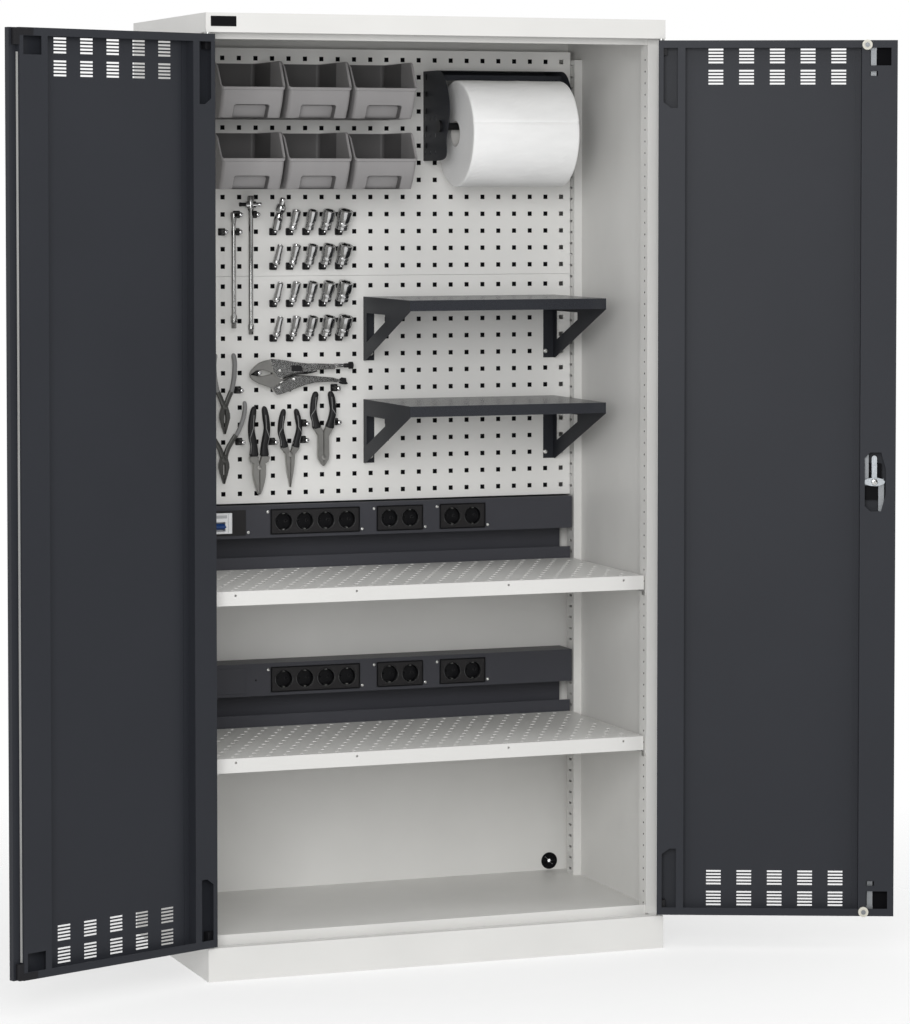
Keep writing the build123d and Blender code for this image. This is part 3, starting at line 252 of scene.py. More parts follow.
def add_piece(name, body, patches, stands_for=(), sharp=35.0):
    """Joins grids of points into one mesh, closes their seams and gives each its material.

    patches holds (points, material) or (points, material, "capped") for rings closed by faces."""
    mesh = bpy.data.meshes.new(name)
    verts, faces, marks, finishes = [], [], [], []
    start = 0
    for points, finish, *extra in patches:
        rows, columns = points.shape[:2]
        quads = grid_faces(rows, columns, start).tolist()
        if extra:
            quads.append(list(range(start, start + columns - 1)))
            last = start + (rows - 1) * columns
            quads.append(list(range(last + columns - 2, last - 1, -1)))
        if finish not in finishes:
            finishes.append(finish)
        verts.append(points.reshape(-1, 3))
        faces += quads
        marks += [finishes.index(finish)] * len(quads)
        start += rows * columns
    mesh.from_pydata(np.concatenate(verts).tolist(), [], faces)
    mesh.polygons.foreach_set("material_index", marks)
    for finish in finishes:
        mesh.materials.append(finish)
    work = bmesh.new()
    work.from_mesh(mesh)
    bmesh.ops.remove_doubles(work, verts=work.verts, dist=2e-6)
    bmesh.ops.dissolve_degenerate(work, edges=work.edges, dist=1e-6)
    bmesh.ops.recalc_face_normals(work, faces=work.faces)
    work.to_mesh(mesh)
    work.free()
    mesh.shade_smooth()
    mesh.set_sharp_from_angle(angle=math.radians(sharp))
    piece = bpy.data.objects.new(name, mesh)
    bpy.context.collection.objects.link(piece)
    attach(piece, body)
    if stands_for:
        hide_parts(*stands_for)
    return piece


# Finishes

FINISHES = {}


def node_tree(name):
    """A new material with its shader and object coordinates."""
    material = bpy.data.materials.new(name)
    material.use_nodes = True
    tree = material.node_tree
    shader = tree.nodes["Principled BSDF"]
    place = tree.nodes.new("ShaderNodeTexCoord")
    FINISHES[name] = material
    return material, tree, shader, place.outputs["Object"]


def noise(tree, place, scale, detail=2.0, roughness=0.5, stretch=None):
    """Noise of a scale per metre, stretched along an axis where wanted."""
    texture = tree.nodes.new("ShaderNodeTexNoise")
    texture.inputs["Scale"].default_value = scale
    texture.inputs["Detail"].default_value = detail
    texture.inputs["Roughness"].default_value = roughness
    if stretch:
        mapping = tree.nodes.new("ShaderNodeMapping")
        mapping.inputs["Scale"].default_value = stretch
        tree.links.new(place, mapping.inputs["Vector"])
        place = mapping.outputs["Vector"]
    tree.links.new(place, texture.inputs["Vector"])
    return texture.outputs["Fac"]


def spread(tree, value, low, high, start=0.35, end=0.65):
    """Maps the middle of a noise to a range of numbers."""
    ramp = tree.nodes.new("ShaderNodeMapRange")
    ramp.inputs["From Min"].default_value = start
    ramp.inputs["From Max"].default_value = end
    ramp.inputs["To Min"].default_value = low
    ramp.inputs["To Max"].default_value = high
    tree.links.new(value, ramp.inputs["Value"])
    return ramp.outputs["Result"]


def tint(tree, value, dark, light, start=0.3, end=0.7):
    """Two shades of one colour, mixed by a noise."""
    ramp = tree.nodes.new("ShaderNodeValToRGB")
    ramp.color_ramp.elements[0].position = start
    ramp.color_ramp.elements[1].position = end
    ramp.color_ramp.elements[0].color = (*dark, 1)
    ramp.color_ramp.elements[1].color = (*light, 1)
    tree.links.new(value, ramp.inputs["Fac"])
    return ramp.outputs["Color"]


def bump(tree, shader, value, distance, strength=1.0, below=None):
    """Raises the surface by a noise, over an earlier relief where there is one."""
    relief = tree.nodes.new("ShaderNodeBump")
    relief.inputs["Distance"].default_value = distance
    relief.inputs["Strength"].default_value = strength
    tree.links.new(value, relief.inputs["Height"])
    if below is not None:
        tree.links.new(below, relief.inputs["Normal"])
    tree.links.new(relief.outputs["Normal"], shader.inputs["Normal"])
    return relief.outputs["Normal"]


def shades(colour, amount):
    """A colour a little darker and a little lighter."""
    return ([max(0.0, c * (1 - amount)) for c in colour],
            [min(1.0, c * (1 + amount)) for c in colour])


def powder_coat(name, colour, rough=0.42, texture=2600.0, relief=0.00004, shine=0.45):
    """Baked powder: orange peel in fine and broad waves, faint flecks and uneven gloss."""
    material, tree, shader, place = node_tree(name)
    fine = noise(tree, place, texture, 1.0, 0.45)
    broad = noise(tree, place, 260.0, 1.0, 0.4)
    cloud = noise(tree, place, 3.5, 3.0, 0.55)
    dark, light = shades(colour, 0.035)
    tree.links.new(tint(tree, cloud, dark, light), shader.inputs["Base Color"])
    tree.links.new(spread(tree, fine, rough - 0.05, rough + 0.07), shader.inputs["Roughness"])
    first = bump(tree, shader, fine, relief, 0.55)
    bump(tree, shader, broad, relief * 3, 0.25, first)
    shader.inputs["Specular IOR Level"].default_value = shine
    return material


def plated_steel(name, colour, rough=0.28, grain=(1.0, 1.0, 1.0), scale=900.0):
    """Plated or drawn steel: fine grain, soft clouds of tone and worn gloss."""
    material, tree, shader, place = node_tree(name)
    lines = noise(tree, place, scale, 2.0, 0.6, grain)
    cloud = noise(tree, place, 22.0, 3.0, 0.6)
    dark, light = shades(colour, 0.09)
    tree.links.new(tint(tree, cloud, dark, light), shader.inputs["Base Color"])
    tree.links.new(spread(tree, lines, rough - 0.07, rough + 0.1), shader.inputs["Roughness"])
    bump(tree, shader, lines, 0.000003, 0.4)
    shader.inputs["Metallic"].default_value = 1.0
    return material


def moulded(name, colour, rough=0.45, grain=1500.0, relief=0.00003, coat=0.0, fleck=0.05,
            shine=0.5):
    """Moulded plastic: fine spark grain, faint flow marks and a skin of uneven gloss."""
    material, tree, shader, place = node_tree(name)
    pits = noise(tree, place, grain, 3.0, 0.6)
    flow = noise(tree, place, 14.0, 2.0, 0.5, (1.0, 1.0, 0.35))
    dark, light = shades(colour, fleck)
    tree.links.new(tint(tree, flow, dark, light), shader.inputs["Base Color"])
    tree.links.new(spread(tree, pits, rough - 0.05, rough + 0.08), shader.inputs["Roughness"])
    bump(tree, shader, pits, relief, 0.5)
    shader.inputs["Coat Weight"].default_value = coat
    shader.inputs["Specular IOR Level"].default_value = shine
    return material


def soft_paper(name, colour):
    """Tissue: embossed dimples, loose fibres and faint creases."""
    material, tree, shader, place = node_tree(name)
    cells = tree.nodes.new("ShaderNodeTexVoronoi")
    cells.inputs["Scale"].default_value = 240.0
    tree.links.new(place, cells.inputs["Vector"])
    fibre = noise(tree, place, 1500.0, 4.0, 0.7)
    crease = noise(tree, place, 26.0, 3.0, 0.6, (0.35, 1.0, 1.0))
    dark, light = shades(colour, 0.03)
    tree.links.new(tint(tree, crease, dark, light), shader.inputs["Base Color"])
    first = bump(tree, shader, cells.outputs["Distance"], 0.0004, 0.35)
    second = bump(tree, shader, fibre, 0.00012, 0.4, first)
    third = bump(tree, shader, crease, 0.0025, 0.5, second)
    wrinkle = noise(tree, place, 70.0, 2.0, 0.5, (1.0, 1.0, 0.25))
    bump(tree, shader, wrinkle, 0.0006, 0.5, third)
    shader.inputs["Roughness"].default_value = 0.95
    shader.inputs["Specular IOR Level"].default_value = 0.2
    return material


def layered_paper(name, colour):
    """The roll's cut end: close rings of layers round the core."""
    material, tree, shader, place = node_tree(name)
    shift = tree.nodes.new("ShaderNodeMapping")
    shift.inputs["Location"].default_value = [-c for c in ROLL_CENTRE]
    tree.links.new(place, shift.inputs["Vector"])
    rings = tree.nodes.new("ShaderNodeTexWave")
    rings.wave_type = "RINGS"
    rings.rings_direction = "X"
    rings.inputs["Scale"].default_value = 160.0
    rings.inputs["Distortion"].default_value = 1.2
    rings.inputs["Detail"].default_value = 3.0
    tree.links.new(shift.outputs["Vector"], rings.inputs["Vector"])
    dark, light = shades(colour, 0.05)
    tree.links.new(tint(tree, rings.outputs["Fac"], dark, light, 0.0, 1.0),
                   shader.inputs["Base Color"])
    first = bump(tree, shader, rings.outputs["Fac"], 0.0003, 0.6)
    bump(tree, shader, noise(tree, place, 300.0, 4.0, 0.7), 0.0003, 0.4, first)
    shader.inputs["Roughness"].default_value = 0.95
    return material


def rubber(name, colour):
    """Soft rubber: matt, with dust in fine pores."""
    return moulded(name, colour, rough=0.7, grain=900.0, relief=0.00005, fleck=0.08)


# Settings that a user may change

class CabinetFinishes(bpy.types.PropertyGroup):
    """Colours of the cabinet and its fittings."""

    carcass: FloatVectorProperty(
        name="Carcass", description="Powder coat of carcass and shelves",
        default=(0.71, 0.705, 0.685), min=0, max=1, subtype="COLOR")
    panels: FloatVectorProperty(
        name="Panels", description="Powder coat of the square-hole panels",
        default=(0.79, 0.785, 0.765), min=0, max=1, subtype="COLOR")
    doors: FloatVectorProperty(
        name="Doors", description="Powder coat of doors, brackets and small shelves",
        default=(0.025, 0.027, 0.033), min=0, max=1, subtype="COLOR")
    channels: FloatVectorProperty(
        name="Channels", description="Powder coat of power channels and charger trays",
        default=(0.050, 0.051, 0.060), min=0, max=1, subtype="COLOR")
    bins: FloatVectorProperty(
        name="Bins", description="Plastic of the open bins",
        default=(0.270, 0.262, 0.263), min=0, max=1, subtype="COLOR")
    roll: FloatVectorProperty(
        name="Paper", description="Tissue of the paper roll",
        default=(0.93, 0.93, 0.925), min=0, max=1, subtype="COLOR")
    toggle: FloatVectorProperty(
        name="Toggle", description="Plastic of the breaker's toggle and test button",
        default=(0.012, 0.060, 0.230), min=0, max=1, subtype="COLOR")


class CabinetSizes(bpy.types.PropertyGroup):
    """Sizes of the detail pieces."""

    bin_wall: FloatProperty(
        name="Bin wall", description="Wall thickness of a bin", default=0.0022,
        min=0.001, max=0.004, unit="LENGTH")
    bin_bead: FloatProperty(
        name="Bin bead", description="How far the rim stands out", default=0.0022,
        min=0.0, max=0.003, unit="LENGTH")
    hook_radius: FloatProperty(
        name="Hook radius", description="Radius of the black hooks", default=0.0052,
        min=0.003, max=0.006, unit="LENGTH")
    socket_sides: IntProperty(
        name="Socket facets", description="Facets round a socket bit", default=36,
        min=12, max=64)


def finishes():
    """The scene's colours."""
    return bpy.context.scene.cabinet_finishes


def sizes():
    """The scene's detail sizes."""
    return bpy.context.scene.cabinet_sizes


NODE_FINISHES = {
    "carcass coat": (
        "top_cap", "header_rail", "plinth", "floor_brace", "floor_panel", "side_panel_left",
        "side_panel_right", "back_panel", "rear_upright_left", "rear_upright_right",
        "shelf_upper", "shelf_lower"),
    "panel coat": ("peg_panel_upper", "peg_panel_lower"),
    "channel coat": (
        "power_channel_upper", "power_channel_lower", "charger_tray_upper",
        "charger_tray_lower"),
    "door coat": (
        "door_skin_left", "door_skin_right", "hinge_stile_left", "hinge_stile_right",
        "free_stile_left", "lock_stile_right", "shelf_brackets_upper",
        "shelf_brackets_lower", "roll_holder"),
    "shelf coat": ("tool_shelf_upper", "tool_shelf_lower"),
    "zinc plate": (
        "shelf_clips", "hinge_pins"),
    "rod zinc": ("upper_rod", "lower_rod"),
    "cam zinc": ("lock_cam",),
    "hinge block": ("hinge_blocks_left", "hinge_blocks_right", "corner_blocks_left"),
    "outlet face": ("sockets_upper", "sockets_lower", "breaker_frame"),
    "lock case black": ("lock_case", "cable_grommet"),
    "breaker white": ("breaker_body",),
    "toggle blue": ("test_button",),
    "edge seal": ("edge_seal_left",),
    "polished chrome": ("lock_cylinder",),
    "hook black": ("roll_spindle",),
}


class CABINET_OT_frame_finishes(bpy.types.Operator):
    """Makes every finish and gives the solids theirs"""

    bl_idname = "cabinet.frame_finishes"
    bl_label = "Frame finishes"

    def execute(self, context):
        colours = finishes()
        powder_coat("carcass coat", colours.carcass[:], rough=0.38)
        powder_coat("panel coat", colours.panels[:], rough=0.42)
        powder_coat("door coat", colours.doors[:], rough=0.46, texture=2200.0, relief=0.00005,
                    shine=0.18)
        powder_coat("shelf coat", colours.doors[:], rough=0.26, texture=2200.0, relief=0.00003,
                    shine=0.55)
        powder_coat("channel coat", colours.channels[:], rough=0.40, shine=0.25)
        plated_steel("zinc plate", (0.48, 0.48, 0.47), rough=0.34)
        plated_steel("bright zinc", (0.58, 0.58, 0.57), rough=0.22)
        plated_steel("screw zinc", (0.88, 0.88, 0.86), rough=0.30)
        plated_steel("cam zinc", (0.36, 0.38, 0.40), rough=0.40)
        plated_steel("rod zinc", (0.24, 0.25, 0.26), rough=0.50, grain=(8.0, 8.0, 1.0))
        plated_steel("polished chrome", (0.56, 0.56, 0.56), rough=0.10, scale=400.0)
        plated_steel("bar chrome", (0.34, 0.34, 0.335), rough=0.20, grain=(6.0, 6.0, 1.0))
        plated_steel("gun black", (0.10, 0.10, 0.095), rough=0.36, grain=(1.0, 1.0, 4.0))
        plated_steel("satin tool steel", (0.36, 0.355, 0.34), rough=0.36, grain=(1.0, 1.0, 6.0))
        moulded("hinge block", (0.011, 0.011, 0.013), rough=0.5, shine=0.2)
        moulded("outlet black", (0.007, 0.007, 0.008), rough=0.30, grain=1200.0, relief=0.00001,
                shine=0.14)
        moulded("outlet face", (0.016, 0.015, 0.016), grain=1200.0, relief=0.00002, shine=0.3)
        moulded("outlet rim", (0.030, 0.030, 0.031), rough=0.16, grain=1200.0, relief=0.00001,
                coat=0.6)
        moulded("lock case black", (0.007, 0.007, 0.008), rough=0.6, shine=0.05)
        moulded("hook black", (0.009, 0.009, 0.010), rough=0.4, shine=0.22)
        moulded("bin grey", colours.bins[:], rough=0.40, grain=1800.0, relief=0.00004)
        # Painted shade: the inside of the bins takes the bin colour darkened to 0.42, since the
        # inside lies in shade
        inside = [c * 0.42 for c in colours.bins]
        moulded("bin painted shade", inside, grain=1800.0, relief=0.00004, shine=0.3)
        moulded("breaker white", (0.82, 0.83, 0.84), rough=0.35, grain=1400.0, relief=0.00002)
        moulded("breaker grey", (0.45, 0.46, 0.47), rough=0.4)
        moulded("toggle blue", colours.toggle[:], rough=0.35)
        moulded("grip black", (0.009, 0.009, 0.010), rough=0.5, grain=1100.0, relief=0.00006,
                shine=0.3)
        moulded("grip grey", (0.20, 0.20, 0.20), rough=0.5, grain=1100.0, relief=0.00006)
        moulded("roller cream", (0.66, 0.64, 0.56))
        moulded("core board", (0.55, 0.54, 0.52), rough=0.85, grain=500.0, relief=0.0001)
        # Painted shade: a flat black that stands for the shade seen through holes and openings
        moulded("painted shade black", (0.008, 0.008, 0.009), rough=0.9, shine=0.0)
        rubber("edge seal", (0.42, 0.42, 0.41))
        soft_paper("tissue", colours.roll[:])
        layered_paper("tissue layers", colours.roll[:])
        for finish, nodes in NODE_FINISHES.items():
            for node in nodes:
                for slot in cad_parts[node].material_slots:
                    slot.material = FINISHES[finish]
        return {"FINISHED"}


# Painted shade sheets behind holes, and holder hooks

class CABINET_OT_shade_sheets_and_hook_heads(bpy.types.Operator):
    """Painted shade: black sheets behind the square holes and the clip holes, and the holder's hook
    heads
    """

    bl_idname = "cabinet.panel_linings"
    bl_label = "Painted shade sheets and hook heads"

    def execute(self, context):
        # Painted shade: black sheets behind the square-hole fields and the clip holes, with a black
        # tube in each clip hole, stand for the shade behind the holes
        dark = FINISHES["painted shade black"]
        field_half, behind = 0.452, PEG_FACE + 0.0080
        for level, (low, high) in PANEL_FIELDS.items():
            ring = box_outline(-field_half, field_half, low, high)
            add_piece(f"back_shade_sheet_{level}", "cabinet",
                      [(plate(ring, behind, behind + 0.0010, 0.0003), dark, "capped")])
        hole = mm((2.2, 0), (2.2, 1.2))
        web, inner_face = 0.4890, 0.48705
        for side, name in ((-1, "left"), (1, "right")):
            ring = box_outline(FRONT + 0.041, FRONT + 0.074, 0.082, 1.944)
            sheet = plate(ring, side * web - 0.0003, side * web + 0.0004, 0.0002, 0)
            patches = [(sheet, dark, "capped")]
            for z in CLIP_START + CLIP_PITCH * np.arange(CLIP_HOLES):
                rim = (side * inner_face, FRONT + 0.053, z)
                patches.append((revolve(hole, rim, (side, 0, 0), 12), dark))
            add_piece(f"post_shade_sheet_{name}", "cabinet", patches)
        half, tall, corner = 0.0045, 0.013, 0.0012
        head = rectangle_ring(half, tall, corner, EASED, 3)[:-1]
        patches = []
        for z in HOLDER_HOOKS:
            ring = head + (PEG_FACE - 0.018, z - tall / 2)
            patches.append((plate(ring, HOLDER_LEFT - 0.0014, HOLDER_LEFT + 0.0010, 0.0005, 0),
                            FINISHES["hook black"], "capped"))
        add_piece("holder_hook_heads", "cabinet", patches)
        return {"FINISHED"}


# Bins

def bin_surface(x, rim):
    """One closed bin: each row is the outline at a height, drawn in by an inset.

    Rows run from the middle of the underside, up the outer wall, round the rim bead, down
    the inner wall and to the middle of the floor. The front leans in towards its foot, the
    sides drop to the lip over the last part of their length, and the hand recess is a
    smooth step in the lower front."""
    half, wall, bead = BIN_HALF, sizes().bin_wall, sizes().bin_bead
    low = rim - BIN_HEIGHT
    lean, taper = 0.030, 0.004
    recess_half, recess_top, recess_depth = 0.577, 0.0287, 0.020
    # Stations stand closer together round the hand recess
    edge = np.array((0, 0.08, 0.15, 0.172, 0.182, 0.192, 0.202, 0.212, 0.222, 0.24, 0.27, 0.31,
                     0.38, 0.44))
    front = np.concatenate([edge, [0.5], 1 - edge[::-1]])
    flank = np.concatenate([np.linspace(0, 0.78, 8), np.linspace(0.80, 1, 14)])
    ring = rectangle_ring(half, BIN_LENGTH, 0.009, (np.linspace(0, 1, 9), flank, front))
    a, b = ring[:, 0] / half, ring[:, 1] / BIN_LENGTH
    top = np.interp(b * BIN_LENGTH, (0, 0.186, 0.192, 0.224, 0.229),
                    (rim, rim, rim - 0.003, low + BIN_LIP + 0.003, low + BIN_LIP))
    rows = []

    def outline(inset, z, scale=1.0):
        width = half - taper * b - taper / 2 * np.clip(1 - (z - low) / BIN_HEIGHT, 0, 1)
        length = BIN_LENGTH - lean * np.clip(1 - (z - low) / BIN_LIP, 0, 1) ** 1.6
        across = a * (width - inset) * scale
        middle = length / 2
        along = middle + (inset + b * (length - 2 * inset) - middle) * scale
        reach = np.abs(a)
        arch = low + recess_top - 0.0045 * np.clip((reach - 0.50) / 0.07, 0, 1) ** 2
        step = np.clip((recess_half - reach) / 0.017, 0, 1) * np.clip((arch - z) / 0.0008, 0, 1)
        along = along - recess_depth * step * np.clip((b - 0.88) / 0.08, 0, 1) * (scale > 0.98)
        y = np.minimum(PEG_FACE - along, PEG_FACE - 0.0003)
        return np.stack([x + across, y, z * np.ones_like(across)], axis=1)

    for scale in (0.0, 0.45, 0.88, 0.985):
        rows.append(outline(0, np.full_like(a, low), scale))
    rise = np.array((0.012, 0.08, 0.16, 0.24, 0.31, 0.36, 0.39, 0.41, 0.43, 0.45, 0.465, 0.478,
                     0.49, 0.505, 0.54, 0.6, 0.7, 0.8, 0.9, 1.0))
    for v in rise:
        rows.append(outline(0, low + v * (top - 0.007 - low)))
    for inset, drop in ((-0.7, 6.8), (-1, 6), (-1, 1), (-0.75, 0.25), (-0.3, 0), (0.4, 0),
                        (0.85, 0.3), (1, 1)):
        inset = inset * (bead if inset < 0 else wall)
        rows.append(outline(inset, top - drop / 1000))
    for v in rise[::-1]:
        rows.append(outline(wall, low + wall + v * (top - 0.002 - low - wall)))
    for scale in (0.985, 0.88, 0.45, 0.0):
        rows.append(outline(wall, np.full_like(a, low + wall), scale))
    return np.array(rows)


class CABINET_OT_bins(bpy.types.Operator):
    """Six open bins with beaded rims, hung by two hooks each"""

    bl_idname = "cabinet.bins"
    bl_label = "Bins"

    def execute(self, context):
        finish, dark = FINISHES["bin grey"], FINISHES["bin painted shade"]
        # Rows from this one on belong to the inside, and the one this far below stands in the wall
        inner_row, wall_row = 31, 4
        hook_drop, hook_radius = 0.028, 0.003
        for level, rim in BIN_RIMS.items():
            for side, x, centre in zip(("left", "middle", "right"), BIN_X, BIN_HOOK_X):
                surface = bin_surface(x, rim)
                inner = surface[inner_row:]
                across, depth = inner[wall_row, :, 0] - x, PEG_FACE - inner[wall_row, :, 1]
                flank = np.flatnonzero((depth > 0.5 * BIN_LENGTH) & (across > 0.9 * BIN_HALF))
                first, last = flank[0], flank[-1]
                # Painted shade: the inner walls and floor take the darkened bin colour, all but the
                # front part of the right inner wall, which keeps the lit bin grey
                patches = [(surface[:inner_row + 1], finish), (inner[:, :first + 1], dark),
                           (inner[:, first:last + 1], finish), (inner[:, last:], dark)]
                for shift in (-PITCH, PITCH):
                    path = [(centre + shift, PEG_FACE + y, rim - hook_drop)
                            for y in (-0.001, 0.007)]
                    hook = sweep(path, hook_radius, hook_radius, (0, 0, 1), 12, 4.0)
                    patches.append((hook, finish))
                add_piece(f"bin_{level}_{side}", "cabinet", patches,
                          (f"bins_{level}_row",))
        return {"FINISHED"}


# Paper roll

class CABINET_OT_paper_roll(bpy.types.Operator):
    """A soft paper roll on a board tube"""

    bl_idname = "cabinet.paper_roll"
    bl_label = "Paper roll"

    def execute(self, context):
        half, core, sides = ROLL_HALF, CORE_RADIUS, 256
        soft, board = 0.004, 0.0018
        ends = np.linspace(0, np.pi / 2, 5)

        def uneven(row, t):
            """Slack layers: the radius swells and dips a little round the roll."""
            return 1 - 0.004 * (0.5 + 0.5 * np.sin(3 * t + 0.15 * row)) * np.ones_like(row)

        left = [(ROLL_RADIUS - soft * (1 - np.sin(e)), -half + soft * (1 - np.cos(e)))
                for e in ends]
        right = [(r, -h) for r, h in reversed(left)]
        middle = [(ROLL_RADIUS, h) for h in np.linspace(-half + 0.01, half - 0.01, 90)]
        skin = revolve(left + middle + right, ROLL_CENTRE, (1, 0, 0), sides, uneven)
        turn = np.arctan2(ROLL_CENTRE[1] - skin[..., 1], skin[..., 2] - ROLL_CENTRE[2])
        along = skin[..., 0] - ROLL_CENTRE[0]
        # Radius: 1 - flap * exp(-((turn - its place) / its width)^2) + wrinkles in four bands
        flap_turn, flap_width, flap_depth = 1.36, 0.016, 0.022
        wrinkle_pitch, wrinkle_depth, wrinkle_slant = 0.0135, 0.0035, 0.7
        relief = 1 - flap_depth * np.exp(-((turn - flap_turn) / flap_width) ** 2)
        for band, width in mm((-104, 8), (-20, 7), (14, 9), (92, 8)):
            run = turn * ROLL_RADIUS + wrinkle_slant * along
            ridge = np.sin(2 * np.pi * run / wrinkle_pitch)
            fade = 0.5 + 0.5 * np.sin(2.3 * turn + 40 * band)
            relief += wrinkle_depth * ridge * fade * np.exp(-((along - band) / width) ** 2)
        skin[..., 1:] = (skin[..., 1:] - ROLL_CENTRE[1:]) * relief[..., None] + ROLL_CENTRE[1:]
        patches = [(skin, FINISHES["tissue"])]
        share = np.linspace(0, 1, 14)[:, None, None]
        for end, row in ((-half, 0), (half, -1)):
            hub = revolve([(core + board, end)], ROLL_CENTRE, (1, 0, 0), sides)
            face = skin[row] * (1 - share) + hub[0] * share
            face[..., :1] -= np.sin(np.pi * share) * 0.0012 * np.sign(end)
            patches.append((face, FINISHES["tissue layers"]))
        tube = [(core + board, -half), (core + 0.0004, -half - 0.0002), (core, -half + 0.0006)]
        tube += [(r, -h) for r, h in reversed(tube)]
        patches.append((revolve(tube, ROLL_CENTRE, (1, 0, 0), sides), FINISHES["core board"]))
        add_piece("soft_paper_roll", "paper_roll", patches, ("paper_roll",))
        return {"FINISHED"}


# Hooks and hand tools

# Socket posts lean out and to the right: direction, length, and where they leave the panel
POST = np.array((0.1378, -0.3060, 0.9420))
POST_LENGTH = 0.044
POST_REACH = 0.021


def foot_block(x, z, thickness):
    """A small square block on the panel with eased edges."""
    half, corner = 0.008, 0.002
    ring = rectangle_ring(half, 2 * half, corner, EASED, 3)[:-1] + (x, z - half)
    return plate(ring, PEG_FACE - thickness, PEG_FACE - 0.0001, 0.0008)


class CABINET_OT_hooks(bpy.types.Operator):
    """Black hooks with bright tips, and the posts that carry the sockets"""

    bl_idname = "cabinet.hooks"
    bl_label = "Hooks"

    def execute(self, context):
        radius = sizes().hook_radius
        black, bright = FINISHES["hook black"], FINISHES["polished chrome"]
        cap = mm((0, 0.2), (3.9, 0), (4.2, -1), (3.8, -2.4), (2.4, -3.2), (0, -3.5))
        stem = [(1.25, 0), (1.2, -0.0055), (0.86, -0.0085), (0.88, -0.020), (1.0, -0.028),
                (1.0, -0.0345), (0.92, -0.0362), (0, -0.0362)]
        patches = []
        for x, z in HOOK_PLACES:
            foot = (x, PEG_FACE, z)
            patches.append((revolve([(r * radius, h) for r, h in stem], foot, (0, 1, 0), 20), black))
            tip = (x, PEG_FACE - 0.0360, z)
            patches.append((revolve(cap, tip, (0, 1, 0), 20), bright))
            patches.append((foot_block(x, z, 0.0030), black, "capped"))
        arm = mm((4.5, 0), (4.5, -21.5), (4, -22.5), (0, -22.5))
        small = [(0.8 * r, h) for r, h in cap]
        for x in SOCKET_X:
            for z in SOCKET_Z:
                foot = np.array((x, PEG_FACE, z))
                patches.append((revolve(arm, foot, (0, 1, 0), 16), black))
                patches.append((revolve(small, foot - (0, 0.0222, 0), (0, 1, 0), 16), bright))
                post = foot - (0, POST_REACH, 0) + np.array((0, POST_LENGTH))[:, None] * POST
                patches.append((sweep(post, 0.0030, 0.0030, (1, 0, 0), 12, 2.0), black))
                patches.append((foot_block(x, z, 0.0070), black, "capped"))
        add_piece("black_hooks", "cabinet", patches, ("tool_hooks",))
        return {"FINISHED"}


def socket_seat(x, z):
    """Where a socket bit stands on its post."""
    seat = 0.006
    return np.array((x, PEG_FACE - POST_REACH, z)) + seat * POST


def socket_profile(radius, length):
    """Radius by distance along a socket: eased ends, a grip band, a waist and a deep mouth."""
    bite = min(0.0010, radius * 0.12)
    base = radius if radius < 0.0095 else radius * 0.87
    mouth = radius * 0.84 if radius < 0.0085 else radius
    return [
        (0.0040, 0.0), (base - bite, 0.0), (base, bite), (base, length * 0.17),
        (base * 0.93, length * 0.19), (base * 0.93, length * 0.22), (base, length * 0.24),
        (base, length * 0.35), (base * 0.95, length * 0.37), (base * 0.95, length * 0.40),
        (mouth, length * 0.50), (mouth, length - bite), (mouth - bite, length),
        (mouth * 0.76, length), (mouth * 0.72, length - bite), (mouth * 0.70, length - 0.014),
        (0.0040, length - 0.0145), (0.0040, 0.0),
    ]


def socket_shape(step, t):
    """Six flats inside the mouth and fine grooves on the grip band."""
    flats = np.cos(np.pi / 6) / np.cos((t % (np.pi / 3)) - np.pi / 6)
    inside = (step >= 14) & (step <= 15)
    band = (step >= 6) & (step <= 7)
    return np.where(inside, flats, np.where(band, 1 - 0.03 * (np.cos(9 * t) > 0), 1.0))


class CABINET_OT_socket_bits(bpy.types.Operator):
    """Chrome socket bits in five sizes, and a swivel joint at the start of the top row"""

    bl_idname = "cabinet.socket_bits"
    bl_label = "Socket bits"

    def execute(self, context):
        sides = sizes().socket_sides
        chrome, dark = FINISHES["polished chrome"], FINISHES["hook black"]
        for row, z in enumerate(SOCKET_Z):
            patches = []
            for place, (x, radius) in enumerate(zip(SOCKET_X, SOCKET_R)):
                if row or place:
                    bit = revolve(socket_profile(radius, POST_LENGTH), socket_seat(x, z), POST,
                                  sides, socket_shape)
                    patches.append((bit, chrome))
            if row == 0:
                foot = socket_seat(SOCKET_X[0], z)
                lower = mm((0, 0), (9, 0), (10.4, 1), (10.4, 20), (9.6, 30), (7, 37), (0, 39))
                upper = mm((0, 36), (7.2, 38), (11, 43), (11, 54), (9, 57), (6.4, 58), (6.4, 70),
                           (5.4, 72), (0, 72))
                ball = mm((0, 32), (6, 34), (8.8, 41), (6, 47), (0, 49))
                for profile, finish in ((lower, chrome), (upper, chrome), (ball, dark)):
                    patches.append((revolve(profile, foot, POST, sides), finish))
                for height in (0.026, 0.045):
                    pin = mm((0, -11.6), (3, -11.6), (3.4, -11), (3.4, 9.6), (0, 9.6))
                    patches.append((revolve(pin, foot + height * POST, (0, 1, 0.3), 18), dark))
            add_piece(f"socket_bits_row_{row + 1}", "cabinet", patches,
                      ("socket_bits",) if row == 0 else ())
        return {"FINISHED"}


def bar_profile(low, high, foot, head):
    """Radius by height along a bar: foot steps count up from low, head steps from high."""
    return [(r, low + h) for r, h in foot] + [(r, high + h) for r, h in head]


